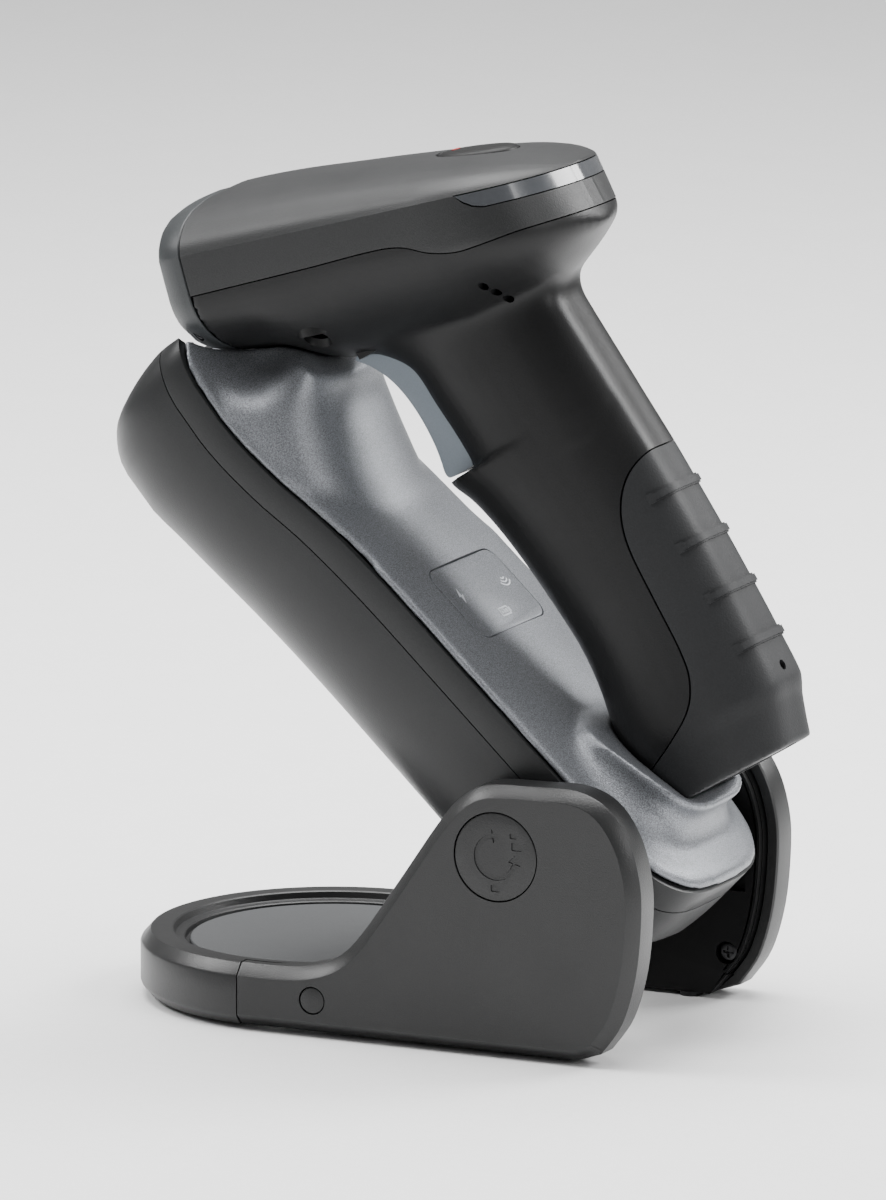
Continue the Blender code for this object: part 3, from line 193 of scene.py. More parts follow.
def side_box(name, low, high, side, place=None):
    """A block given in millimetres on the far side (side 1), or its mirror image (side -1)."""
    near, far = sorted((side * low[1], side * high[1]))
    return box(name, mm(low[0], near, low[2]), mm(high[0], far, high[2]), place)


def rod(name, centre, radius, low, high, axis="Z", sides=48, place=None):
    """A round bar about an axis through centre."""
    turn = {"Z": Matrix.Identity(4), "Y": Matrix.Rotation(math.radians(-90), 4, "X"),
            "X": Matrix.Rotation(math.radians(90), 4, "Y")}[axis]
    bm = bmesh.new()
    bmesh.ops.create_cone(bm, cap_ends=True, segments=sides, radius1=radius, radius2=radius, depth=high - low,
                          matrix=Matrix.Translation(centre) @ turn @ Matrix.Translation((0, 0, (low + high) / 2)))
    return finish(name, bm, place)


def turned(name, profile, sides=160, place=None):
    """A solid turned about Z from a closed profile of (radius, height) points."""
    bm = bmesh.new()
    verts = [bm.verts.new((radius, 0, height)) for radius, height in profile]
    edges = [bm.edges.new((verts[i], verts[i + 1])) for i in range(len(verts) - 1)]
    if profile[0][0] > 0:
        edges.append(bm.edges.new((verts[-1], verts[0])))
    bmesh.ops.spin(bm, geom=verts + edges, cent=(0, 0, 0), axis=(0, 0, 1), angle=math.tau, steps=sides,
                   use_merge=True)
    bmesh.ops.remove_doubles(bm, verts=bm.verts, dist=1e-6)
    return finish(name, bm, place)


def rounded_box(half_x, half_y, radius, steps=8, centre=(0, 0)):
    """A rectangle with round corners, as flat points."""
    points = []
    for quadrant, (sx, sy) in enumerate(((1, 1), (-1, 1), (-1, -1), (1, -1))):
        for k in range(steps + 1):
            angle = math.radians(90 * (quadrant + k / steps))
            points.append((centre[0] + sx * (half_x - radius) + radius * math.cos(angle),
                           centre[1] + sy * (half_y - radius) + radius * math.sin(angle)))
    return points


def settled(thing):
    """Apply a piece's modifiers to its mesh."""
    bpy.context.view_layer.update()
    graph = bpy.context.evaluated_depsgraph_get()
    mesh = bpy.data.meshes.new_from_object(thing.evaluated_get(graph))
    thing.modifiers.clear()
    thing.data = mesh
    return thing


def combine(target, tool, operation):
    """Boolean of two bodies; the tool is used up."""
    cut = target.modifiers.new("Boolean", "BOOLEAN")
    cut.object = tool
    cut.operation = operation
    cut.solver = "EXACT"
    settled(target)
    bpy.data.objects.remove(tool)
    weld(target)
    return target


def weld(thing):
    """Merge the doubled points that a Boolean leaves."""
    bm = bmesh.new()
    bm.from_mesh(thing.data)
    bmesh.ops.remove_doubles(bm, verts=bm.verts, dist=2e-6)
    bm.to_mesh(thing.data)
    bm.free()


def union(*things):
    """The first body with all the others added."""
    for other in things[1:]:
        combine(things[0], other, "UNION")
    return things[0]


def cut_away(target, *tools):
    """The target with every tool's shape taken out."""
    for tool in tools:
        combine(target, tool, "DIFFERENCE")
    return target


def gather(things):
    """Join pieces that don't meet into one object."""
    bm = bmesh.new()
    for thing in things:
        bm.from_mesh(thing.data)
    first = things[0]
    bm.to_mesh(first.data)
    bm.free()
    for thing in things[1:]:
        bpy.data.objects.remove(thing)
    return first


def copy_of(thing, name, turn=None):
    """A second piece with a mesh of its own, moved or mirrored by turn."""
    twin = bpy.data.objects.new(name, thing.data.copy())
    bpy.context.scene.collection.objects.link(twin)
    if turn is not None:
        bm = bmesh.new()
        bm.from_mesh(twin.data)
        bmesh.ops.transform(bm, matrix=turn, verts=bm.verts)
        bmesh.ops.recalc_face_normals(bm, faces=bm.faces)
        bm.to_mesh(twin.data)
        bm.free()
    return twin


def soften(thing, voxel, passes, weight, base=3):
    """Rebuild a body as one even skin and smooth it, most where weight says."""
    skin = thing.modifiers.new("Skin", "REMESH")
    skin.mode = "VOXEL"
    skin.voxel_size = voxel
    settled(thing)
    group = thing.vertex_groups.new(name="soft")
    for vert in thing.data.vertices:
        group.add([vert.index], weight(vert.co), "REPLACE")
    light = thing.modifiers.new("Light", "SMOOTH")
    light.factor = 0.5
    light.iterations = base
    heavy = thing.modifiers.new("Heavy", "SMOOTH")
    heavy.factor = 0.7
    heavy.iterations = passes
    heavy.vertex_group = "soft"
    settled(thing)
    thing.vertex_groups.clear()
    return thing


def ease(low, high, value):
    """Smooth step from 0 at low to 1 at high."""
    t = min(max((value - low) / (high - low), 0), 1)
    return t * t * (3 - 2 * t)


def edge_break(thing, width, segments=2, angle=35):
    """Round every sharp edge of a piece by width."""
    bevel = thing.modifiers.new("Edges", "BEVEL")
    bevel.width = width
    bevel.segments = segments
    bevel.limit_method = "ANGLE"
    bevel.angle_limit = math.radians(angle)
    bevel.use_clamp_overlap = True
    return settled(thing)


def fit(thing, finish_name, body, *nodes, angle=30, broken=None):
    """Give a piece its finish, its shading, its body and the CAD nodes that it stands for."""
    if broken:
        edge_break(thing, broken)
    thing.data.materials.clear()
    thing.data.materials.append(FINISHES[finish_name])
    thing.data.shade_smooth()
    thing.data.set_sharp_from_angle(angle=math.radians(angle))
    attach(thing, body)
    if nodes:
        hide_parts(*nodes)
    return thing


# ---------------------------------------------------------------- finishes

def moulded(name, colour, roughness, grain=2600, bump=0.05, fleck=0.0, metallic=0.0, coat=0.0, edge_highlight_strength=0.08,
            specular=0.32):
    """Moulded plastic: fine spark-eroded grain, cloudy gloss, sharp edges made slightly lighter as a painted
    highlight.
    """
    made = bpy.data.materials.new(name)
    made.use_nodes = True
    nodes, links = made.node_tree.nodes, made.node_tree.links
    shader = nodes["Principled BSDF"]
    place = nodes.new("ShaderNodeTexCoord")
    fine = nodes.new("ShaderNodeTexNoise")
    fine.inputs["Scale"].default_value = grain
    fine.inputs["Detail"].default_value = 3
    cloud = nodes.new("ShaderNodeTexNoise")
    cloud.inputs["Scale"].default_value = 45
    cloud.inputs["Detail"].default_value = 4
    for texture in (fine, cloud):
        links.new(place.outputs["Object"], texture.inputs["Vector"])
    gloss = nodes.new("ShaderNodeMapRange")
    gloss.inputs["From Min"].default_value = 0.3
    gloss.inputs["From Max"].default_value = 0.7
    gloss.inputs["To Min"].default_value = roughness - 0.045
    gloss.inputs["To Max"].default_value = roughness + 0.045
    links.new(cloud.outputs["Fac"], gloss.inputs["Value"])
    links.new(gloss.outputs["Result"], shader.inputs["Roughness"])
    tone = nodes.new("ShaderNodeMixRGB")
    tone.blend_type = "MIX"
    tone.inputs["Color1"].default_value = (*[c * (1 - fleck) for c in colour], 1)
    tone.inputs["Color2"].default_value = (*[c * (1 + fleck) for c in colour], 1)
    spread = nodes.new("ShaderNodeMapRange")
    spread.inputs["From Min"].default_value = 0.35
    spread.inputs["From Max"].default_value = 0.65
    links.new(fine.outputs["Fac"], spread.inputs["Value"])
    links.new(spread.outputs["Result"], tone.inputs["Fac"])
    # Painted highlight: sharp convex edges (high pointiness) are mixed towards a lighter colour.
    shape = nodes.new("ShaderNodeNewGeometry")
    edge = nodes.new("ShaderNodeMapRange")
    edge.inputs["From Min"].default_value = 0.52
    edge.inputs["From Max"].default_value = 0.62
    edge.inputs["To Max"].default_value = edge_highlight_strength
    links.new(shape.outputs["Pointiness"], edge.inputs["Value"])
    edge_highlight = nodes.new("ShaderNodeMixRGB")
    edge_highlight.inputs["Color2"].default_value = (*[min(c * 2.2 + 0.02, 1) for c in colour], 1)
    links.new(edge.outputs["Result"], edge_highlight.inputs["Fac"])
    links.new(tone.outputs["Color"], edge_highlight.inputs["Color1"])
    links.new(edge_highlight.outputs["Color"], shader.inputs["Base Color"])
    relief = nodes.new("ShaderNodeBump")
    relief.inputs["Strength"].default_value = bump
    relief.inputs["Distance"].default_value = 0.0004
    links.new(fine.outputs["Fac"], relief.inputs["Height"])
    links.new(relief.outputs["Normal"], shader.inputs["Normal"])
    shader.inputs["Metallic"].default_value = metallic
    shader.inputs["Specular IOR Level"].default_value = specular
    shader.inputs["Coat Weight"].default_value = coat
    shader.inputs["Coat Roughness"].default_value = 0.1
    return made


FINISHES = {
    "charcoal": moulded("charcoal_moulding", (0.0155, 0.016, 0.0165), 0.44, bump=0.16, fleck=0.14, specular=0.3),
    "housing": moulded("housing_moulding", (0.0062, 0.0063, 0.0066), 0.40, bump=0.12, fleck=0.12, specular=0.22),
    "bezel": moulded("bezel_moulding", (0.021, 0.0235, 0.025), 0.42, bump=0.14, fleck=0.12),
    "stand": moulded("stand_moulding", (0.0105, 0.0107, 0.011), 0.36, bump=0.18, fleck=0.14, specular=0.40),
    "graphite": moulded("graphite_sparkle", (0.185, 0.193, 0.208), 0.36, 3200, 0.28, 0.40, 0.55, specular=0.5),
    "mat": moulded("dish_rubber", (0.045, 0.047, 0.049), 0.6, 1900, 0.20, 0.10, specular=0.5),
    "belly": moulded("belly_moulding", (0.0125, 0.013, 0.0135), 0.38, bump=0.10, fleck=0.10, specular=0.3),
    "rubber": moulded("soft_rubber", (0.0125, 0.013, 0.014), 0.55, 1900, 0.20, 0.10, specular=0.26),
    "black": moulded("black_moulding", (0.003, 0.003, 0.0032), 0.45, bump=0.12, fleck=0.10, specular=0.2),
    "blue_grey": moulded("blue_grey_moulding", (0.17, 0.20, 0.23), 0.34, bump=0.05, fleck=0.04, edge_highlight_strength=0.03),
    "smoke": moulded("smoky_light_guide", (0.045, 0.048, 0.053), 0.2, 700, 0.02, 0.05, coat=0.6, edge_highlight_strength=0.0),
    "glass": moulded("tinted_window", (0.010, 0.006, 0.010), 0.07, 500, 0.005, 0.05, coat=1.0, edge_highlight_strength=0.0),
    "steel": moulded("bright_steel", (0.42, 0.42, 0.43), 0.30, 1500, 0.05, 0.06, 1.0),
    "dark_steel": moulded("blackened_steel", (0.06, 0.06, 0.062), 0.34, 1500, 0.05, 0.06, 1.0),
    "board": moulded("circuit_board", (0.012, 0.075, 0.03), 0.5, 900, 0.1, 0.25),
    "copper": moulded("copper_winding", (0.62, 0.28, 0.13), 0.35, 1800, 0.3, 0.15, 1.0),
    "mark": moulded("printed_mark", (0.55, 0.57, 0.60), 0.45, bump=0.03, fleck=0.04, edge_highlight_strength=0.0),
    "red": moulded("red_mark", (0.30, 0.012, 0.010), 0.40, bump=0.03, fleck=0.04, edge_highlight_strength=0.0),
}

# ---------------------------------------------------------------- shapes of the scanner

crown_height = smooth_table([(-34, 16.4), (-26, 17.7), (-20, 18.8), (-7, 18.9), (8, 18.1), (27, 16.9),
                             (52, 14.8), (60, 13.4), (68.7, 10.4), (74.2, 7.8)])
crease_height = smooth_table([(-34, 14.5), (-26, 15.2), (8, 15.2), (42, 13.9), (60, 12.0), (69, 9.9),
                              (74.2, 7.6)])
side_height = smooth_table([(-34, 4.6), (-26, 5.0), (14, 6.0), (54, 7.1), (74.2, 7.1)])
seam_height = smooth_table([(-40, -6.6), (-26, -5.8), (8, -4.1), (30, -2.8), (37, -3.4), (44, -6.0),
                            (51, -7.1), (58, -6.4), (68, -5.0), (90, -4.0)])
chin_height = smooth_table([(-34, -22.6), (-26, -24.4), (-13, -25.8), (-6, -29.3), (2, -32.2),
                            (20, -33.0), (42, -32.0), (56, -25.5), (64, -18.0), (70, -12.0), (75.8, -7.6)])
chin_power = smooth_table([(-34, 2100), (-13, 1950), (10, 1600), (40, 1500), (60, 1700), (76.4, 2200)])
handle_front = smooth_table([(-4, -25.2), (10, -27.2), (20, -28.2), (33, -26.2), (44, -25.6), (54, -26.4),
                             (68, -28.2), (81, -30.6), (91, -33.6), (97.5, -37.0), (99, -36.8)])
handle_rear = smooth_table([(-4, 15.4), (2, 17.2), (9, 19.8), (11.5, 21.3), (24, 21.9), (38, 22.1), (53, 21.9),
                            (67, 21.4), (80, 20.8), (92, 19.9), (114, 18.2), (121, 17.7), (126, 17.7),
                            (130, 19.4), (134, 24.0), (137, 29.5), (140, 35.5)])
handle_width = smooth_table([(-4, 16.0), (4, 16.6), (9, 16.8), (12, 17.4), (24, 16.6), (40, 15.8), (60, 15.6),
                             (100, 15.6), (118, 15.7), (126, 15.8), (131, 16.2), (136, 18.2), (142, 24.5)])
neck_front = smooth_table([(97, -28.6), (108, -29.2), (117, -30.2), (127, -31.2), (131, -33.4), (136, -38.2),
                           (141, -43.0)])


def head_width(x):
    """Factor of the head's half width: one along the head, falling as the back rounds off."""
    share = min(max((x - (REAR_END - REAR_ROUND)) / REAR_ROUND, 0), 0.9985)
    return (1 - share ** REAR_POWER) ** (1 / REAR_POWER)


def head_stations():
    """Places along the head from the nose seam back, closer together where the rear rounds off."""
    straight = [x * MM for x in range(-26, 44, 2)] + [44 * MM]
    rounded = [REAR_END - REAR_ROUND * (1 - math.sin(math.radians(a)) ** (2 / REAR_POWER))
               for a in (12, 20, 28, 35, 42, 48, 54, 60, 65, 70, 74, 78, 81, 84, 86.5, 88.5)]
    return straight + rounded


def head_ring(x, inset=0.0):
    """Ring of the head at station x: crowned top, slanted shoulders, upright sides, round chin."""
    factor = head_width(x) * (HEAD_HALF_WIDTH - inset) / HEAD_HALF_WIDTH
    upper = crown_height(x) - inset
    crease = min(crease_height(x) - inset, upper)
    side = side_height(x)
    split = HEAD_SPLIT
    chin = chin_height(x) + inset
    power = chin_power(x)
    crown = curve_through([(0, upper), (11 * MM, upper - 0.25 * (upper - crease)), (22 * MM, crease)], 4)
    shoulder = curve_through([(22 * MM, crease), (28.6 * MM, crease - 0.27 * (crease - side)),
                              (33.1 * MM, crease - 0.66 * (crease - side)), (HEAD_HALF_WIDTH, side)], 4)
    flank = curve_through([(HEAD_HALF_WIDTH, side), (34.4 * MM, 0.4 * side + 0.6 * split),
                           (34.0 * MM, split)], 3)
    half = crown + shoulder[1:] + flank[1:]
    reach = half[-1][0]
    for k in range(1, 15):
        angle = math.radians(90 * k / 15)
        half.append((reach * math.cos(angle) ** (2 / power),
                     split + (chin - split) * math.sin(angle) ** (2 / power)))
    half.append((0, chin))
    full = [(y * factor, z) for y, z in half] + [(-y * factor, z) for y, z in reversed(half[1:-1])]
    ramp = min(max((x - 50 * MM) / (REAR_END - 50 * MM), 0), 1)
    drawn = inset * max(x - (REAR_END - REAR_ROUND), 0) / REAR_ROUND
    return [Vector((x - drawn - REAR_LEAN * ramp * (z - crown_height(REAR_END)), y, z)) for y, z in full]


def head_body(name, inset=0.0, front=None):
    """The head as one body; inset shrinks it, front moves its front face."""
    rings = [head_ring(x, inset) for x in head_stations()]
    if front is not None:
        lead = [Vector((front, p.y, p.z)) for p in rings[0]]
        rings = [lead] + (rings[1:] if front > rings[0][0].x else rings)
    return loft(name, rings, HEAD_FRAME)


def handle_ring(z, inset=0.0, front=handle_front):
    """Ring of the handle at height z along it: round front, flat-backed rear with two soft creases."""
    low = front(z) + inset
    high = handle_rear(z) - inset
    wide = handle_width(z) - inset
    widest = low + 0.56 * (high - low)
    half = [(0, low)]
    for k in range(1, 13):
        angle = math.radians(90 * k / 12)
        half.append((wide * math.sin(angle) ** 0.85, widest - (widest - low) * math.cos(angle) ** 0.85))
    back = [(wide, widest), (wide * 0.97, widest + 0.38 * (high - widest)),
            (wide * 0.82, widest + 0.74 * (high - widest)), (wide * 0.52, high - 0.5 * MM), (0, high)]
    half += curve_through(back, 4)[1:]
    full = half + [(-y, x) for y, x in reversed(half[1:-1])]
    return [Vector((x, y, z)) for y, x in full]


def handle_body(name, inset=0.0, low=None, top=98.1):
    """Lower handle from its foot to the lip under the trigger."""
    count = 46
    rings = [handle_ring((HANDLE_START + (top - HANDLE_START) * k / count) * MM, inset) for k in range(count + 1)]
    if low is not None:
        kept = [ring for ring in rings if ring[0].z > low + 0.5 * MM]
        rings = [[Vector((p.x, p.y, low)) for p in kept[0]]] + kept
    return loft(name, rings, HANDLE_FRAME)


def neck_body(name, inset=0.0):
    """Upper handle behind the trigger, flaring into the head."""
    rings = [handle_ring((NECK_START + NECK_LENGTH * k / 24) * MM, inset, neck_front) for k in range(25)]
    first = [Vector((p.x, p.y, 90 * MM)) for p in rings[0]]
    return loft(name, [first] + rings, HANDLE_FRAME)


def seam_block(name, above, gap):
    """Everything above (or below) the joint of cover and housing, as a wide block."""
    line = [(x * MM, seam_height(x * MM) + (gap if above else -gap)) for x in range(-40, 91)]
    far = (70 if above else -170) * MM
    return prism(name, line + [(line[-1][0], far), (line[0][0], far)], -50 * MM, 50 * MM, "Y", HEAD_FRAME)


def strip_block(name, grow):
    """Wedge-ended band that the light strip fills, round the back of the head."""
    low = 3.0 * MM - grow
    high = 7.0 * MM + grow
    outline = [(54.3 * MM - grow, high), (56.2 * MM - grow, low + 2.2 * MM), (58.2 * MM - grow, low + 0.8 * MM),
               (60.8 * MM - grow, low), (95 * MM, low), (95 * MM, high)]
    return prism(name, outline, -50 * MM, 50 * MM, "Y", HEAD_FRAME)


def oval_ring(centre_x, half_x, half_y, z, power=2.6, count=96):
    """A level ring, squarer than an ellipse where power is above 2."""
    ring = []
    for k in range(count):
        angle = math.tau * k / count
        x = math.copysign(abs(math.cos(angle)) ** (2 / power), math.cos(angle))
        y = math.copysign(abs(math.sin(angle)) ** (2 / power), math.sin(angle))
        ring.append(Vector((centre_x + half_x * x, half_y * y, z)))
    return ring


def button_outline(grow):
    """The oval of the top button, as flat points."""
    return [(p.x, p.y) for p in oval_ring(BUTTON_X, 10.8 * MM + grow, 8.2 * MM + grow, 0, 2.3, 72)]


def foot_opening(name, grow, low, high):
    """The oval that the bottom cap fills in the handle's foot."""
    outline = [(p.x, p.y) for p in oval_ring(0.6 * MM, 12.6 * MM + grow, 10.6 * MM + grow, 0, 2.2, 72)]
    return prism(name, outline, low, high, "Z", HANDLE_FRAME)


def grip_block(name, grow):
    """Side outline of the rubber grip: up the rear of the handle and round its foot."""
    seam = curve_through(mm_pairs([
        (30, 81.5), (22, 80.4), (15.5, 77.6), (10.6, 72.6), (7.4, 66), (6.0, 58), (5.8, 44), (5.8, 31),
        (4.6, 23.4), (0.4, 16.8), (-8, 11.8), (-20, 7.4), (-34, 3.4)]), 6)
    moved = [(x - grow * 0.9, z + grow * 0.45) for x, z in seam]
    outline = moved + mm_pairs([(-34, -8), (60, -8)]) + [(60 * MM, moved[0][1])]
    return prism(name, outline, -40 * MM, 40 * MM, "Y", HANDLE_FRAME)


def trigger_slot(name):
    """Room for the trigger blade, open to the front of the neck."""
    outline = mm_pairs([(-50, 98.4), (-20.5, 98.4), (-20.5, 139), (-30.5, 144.5), (-41.5, 144.5), (-46.5, 139.6),
                        (-50, 138.8)])
    return prism(name, outline, -8.5 * MM, 8.5 * MM, "Y", HANDLE_FRAME)


# ---------------------------------------------------------------- shapes of the arm

parting_height = smooth_table([(-163, 14.5), (-158, 13.0), (-147, 9.8), (-131, 8.0), (-114, 8.8), (-98, 11.0),
                               (-78, 12.3), (-58, 12.6), (40, 12.6)])
belly_height = smooth_table([(-162, 3.0), (-160.7, -6.0), (-158, -16.5), (-156, -20.0), (-151, -24.0),
                             (-146, -25.7), (-136, -26.9), (-124, -26.0), (-80, -23.8), (0, -24.0),
                             (10, -23.2), (20, -19.8), (28, -14.4), (33, -9.2), (36.8, -3.2), (38.4, 0.6)])
cup_rim = smooth_table([(-20, 26.0), (-15, 27.2), (-10, 30), (0, 33), (9, 35), (17, 36), (24, 36)])


def arm_half_width(x, trim=0.0):
    """Half width of the arm at x: straight sides, squarish round ends."""
    share, power = 0, 2
    if x < ARM_TOP_END:
        share = min((x - ARM_TOP_END) / (-162 * MM + trim - ARM_TOP_END), 1)
        power = 5
    elif x > ARM_FOOT_END:
        share = min((x - ARM_FOOT_END) / (33.4 * MM - trim), 1)
        power = 3.3
    return (ARM_HALF_WIDTH - trim) * (1 - share ** power) ** (1 / power)


def arm_stations(trim=0.0, tip=88):
    """Places along the arm, closer together towards its round ends."""
    turns = [t for t in range(6, tip, 6)] + [tip]
    upper = [ARM_TOP_END - (27 * MM - trim) * math.sin(math.radians(t)) ** (2 / 5) for t in turns]
    lower = [ARM_FOOT_END + (33.4 * MM - trim) * math.sin(math.radians(t)) ** (2 / 3.3) for t in turns]
    return sorted(upper + [x * MM for x in range(-135, 6, 4)] + lower)


def belly_section(x, trim, top, count=28):
    """D-shaped section under the parting line, closed by a flat at height top."""
    wide = arm_half_width(x, trim)
    low = min(belly_height(x) + trim, top - 1.5 * MM)
    start = min(parting_height(x) - ARM_GAP, top - 0.5 * MM)
    points = [Vector((x, -wide, top))]
    for k in range(count + 1):
        angle = math.pi * k / count
        y = -wide * math.copysign(abs(math.cos(angle)) ** (2 / 2.3), math.cos(angle))
        points.append(Vector((x, y, start + (low - start) * math.sin(angle) ** (2 / 2.3))))
    return points + [Vector((x, wide, top))]


def crown_section(x, wide, bottom, edge, crown):
    """Plate section of the arm's upper shell: flat below, gently crowned above."""
    points = [Vector((x, -wide, bottom)), Vector((x, -wide, bottom + edge))]
    for k in range(-12, 13):
        share = 0.97 * k / 12
        rise = crown * (1 - abs(share) ** 2.2)
        points.append(Vector((x, wide * share, bottom + edge + 0.5 * MM + rise)))
    return points + [Vector((x, wide, bottom + edge)), Vector((x, wide, bottom))]


def head_room(name):
    """Room for the head over the arm's top end, open to the front."""
    return head_body(name, -REST_GAP, SADDLE_FRONT)


def pivot_bore():
    """Hole for the two pivot pins."""
    return rod("bore", TILT_AXIS, 6 * MM, -40 * MM, 40 * MM, "Y")


def arm_belly():
    """Lower shell of the arm, hollow and open upwards."""
    belly = loft("Belly", [belly_section(x, 0, parting_height(x) - ARM_GAP) for x in arm_stations()], ARM_FRAME)
    rings = [belly_section(x, ARM_WALL, 30 * MM) for x in arm_stations(ARM_WALL)]
    cut_away(belly, loft("hollow", rings, ARM_FRAME), pivot_bore(), head_room("room"))
    fit(belly, "belly", "arm", "arm_belly", angle=40)


def arm_band():
    """Dark band between the belly and the arm top."""
    def section(x, trim, low, high):
        wide = arm_half_width(x, trim)
        return [Vector((x, -wide, low)), Vector((x, wide, low)), Vector((x, wide, high)), Vector((x, -wide, high))]
    rings = []
    for x in arm_stations():
        low = parting_height(x) + ARM_GAP
        rings.append(section(x, 0, low, low + BAND_HEIGHT - 0.3 * MM))
    band = edge_break(loft("Band", rings, ARM_FRAME), 0.5 * MM, 3)
    rings = [section(x, ARM_WALL, -20 * MM, 45 * MM) for x in arm_stations(ARM_WALL)]
    cut_away(band, loft("hollow", rings, ARM_FRAME), head_room("room"))
    fit(band, "belly", "arm", "arm_band", angle=40)


def handle_room():
    """Room for the handle's foot in the cup, open upwards so that the scanner lifts out."""
    room = handle_body("handle_room", -REST_GAP)
    rise = copy_of(room, "rise", Matrix.Translation(ARM_FRAME.to_3x3() @ Vector((0, 0, 6 * MM))))
    return combine(room, rise, "UNION")


def arm_shell():
    """Upper shell with the head's saddle at its top end and the cup for the handle at its foot."""
    rings = []
    for x in arm_stations(ARM_TOP_TRIM):
        bottom = parting_height(x) + BAND_HEIGHT + ARM_GAP
        wide = arm_half_width(x, ARM_TOP_TRIM)
        rings.append(crown_section(x, wide, bottom, 1.2 * MM, 2.6 * MM * wide / ARM_HALF_WIDTH))
    shell = loft("Arm_top", rings, ARM_FRAME)
    trim = 2.5 * MM
    rings = [belly_section(x, trim, parting_height(x) + BAND_HEIGHT + 1 * MM)
             for x in arm_stations(trim) if x < -104 * MM]
    wall = combine(loft("wall", rings, ARM_FRAME), head_body("skin", -2.7 * MM, SADDLE_FRONT), "INTERSECT")
    union(shell, wall)
    tower = curve_through([(-124, 35.5, 32.2, 17), (-123.5, 35.5, 31.8, 21.5), (-125.5, 33.5, 31.0, 24.2),
                           (-128.5, 30.0, 30.0, 26.4), (-131.5, 26.0, 28.8, 28.8), (-133.5, 21.8, 27.2, 31.2),
                           (-135.5, 17.2, 25.4, 33.6), (-136.5, 14.0, 23.8, 36), (-136.8, 12.3, 22.8, 38.5)], 4)
    rings = []
    for x, half_x, half_y, z in tower:
        ring = oval_ring(x * MM, half_x * MM, half_y * MM, z * MM, 2.3 + 0.9 * ease(27, 38, z))
        for point in ring:
            point.y *= 1 - 0.46 * ease(20, 28, z) * ease(129, 142, -point.x / MM)
        rings.append(ring)
    union(shell, loft("tower", rings, ARM_FRAME))
    rings = []
    level_top = 22.4
    for half_x, half_y, height in curve_through([(33.6, 32.3, 20.7), (30.4, 30.2, 21.5), (26.6, 27.4, 23.2),
                                                 (22.4, 23.4, 26), (19.9, 20.7, 29), (19.4, 20.4, 32),
                                                 (20.7, 21.9, 36)], 4):
        ring = oval_ring(CUP_X, half_x * MM, half_y * MM, height * MM, 3.4)
        for point in ring:
            if height > level_top:
                share = (height - level_top) / 13.6
                point.z = level_top * MM + share * (cup_rim(point.x) - level_top * MM)
        rings.append(ring)
    union(shell, loft("cup", rings, ARM_FRAME))
    inverse = ARM_FRAME.inverted()

    def near_joint(point):
        local = inverse @ point
        level = ease(19, 22.5, local.z / MM) * (1 - ease(34, 40, local.z / MM))
        tower_side = 1 - ease(3, 14, max(abs(local.x / MM + 127) - 38, abs(local.y / MM) - 29))
        cup_side = 1 - ease(2, 9, max(abs(local.x / MM - 3) - 27, abs(local.y / MM) - 27))
        return level * max(tower_side, 0.3 * cup_side)
    soften(shell, 0.85 * MM, 110, near_joint)
    cut_away(shell, handle_room(), head_room("room"))
    soften(shell, 0.72 * MM, 0, lambda point: 0.0, 3)
    outline = rounded_box(11.85 * MM, 19.35 * MM, 4.3 * MM, 8, (PANEL_X, 0))
    cut_away(shell, prism("panel_room", outline, 23.1 * MM, 30 * MM, "Z", ARM_FRAME))
    fit(shell, "graphite", "arm", "arm_shell", angle=50)


def status_panel():
    """Flush panel with a bolt, waves and a battery on it."""
    outline = rounded_box(11.5 * MM, 19 * MM, 4 * MM, 8, (PANEL_X, 0))
    panel = prism("Panel", outline, 23.5 * MM, 24.4 * MM, "Z", ARM_FRAME)
    fit(panel, "graphite", "arm", "status_panel", broken=0.25 * MM)
    low, high = 24.2 * MM, 24.5 * MM

    def plate(name, points, centre):
        moved = [(centre[0] * MM + x * MM, centre[1] * MM + y * MM) for x, y in points]
        return prism(name, moved, low, high, "Z", ARM_FRAME)

    def bow(centre, radius, start, stop, thick):
        angles = [math.radians(start + (stop - start) * k / 14) for k in range(15)]
        outer = [((radius + thick) * math.cos(a), (radius + thick) * math.sin(a)) for a in angles]
        inner = [(radius * math.cos(a), radius * math.sin(a)) for a in reversed(angles)]
        return plate("bow", outer + inner, centre)
    bolt = plate("bolt", [(-2.4, 0.5), (0.3, -1.3), (0.1, -0.2), (2.4, -0.5), (-0.3, 1.3), (-0.1, 0.2)],
                 (-61.5, -12.5))
    waves = [bow((-62.6, 12.5), radius, -52, 52, 0.42) for radius in (0.9, 2.0, 3.1)]
    cell = plate("cell", rounded_box(1.4, 2.6, 0.4, 3), (-53, 0.7))
    cut_away(cell, plate("inner", rounded_box(0.95, 2.15, 0.25, 3), (-53, 0.7)))
    charge = [plate("charge", rounded_box(0.6, 0.45, 0.1, 2), (-53, 0.7 + y)) for y in (-1.25, 0, 1.25)]
    pole = plate("pole", rounded_box(0.7, 0.25, 0.1, 2), (-53, 3.75))
    icons = gather([bolt] + waves + [cell, pole] + charge)
    icons.name = "Panel_icons"
    fit(icons, "mark", "arm")


# ---------------------------------------------------------------- base

EAR_CURVE = [(-3, 17.5), (8, 17.6), (17, 18.6), (24.5, 21.6), (31, 28.0), (42, 43.5), (53, 59.5),
             (59.5, 67.0), (67, 70.9), (80, 71.6), (92, 71.6), (100.5, 68.0), (106.5, 60.0),
             (109.6, 50.0), (110.2, 40.0), (108.8, 25.0), (105.0, 12.0), (99.0, 3.4)]
EAR_FOOT = 92.4 * MM


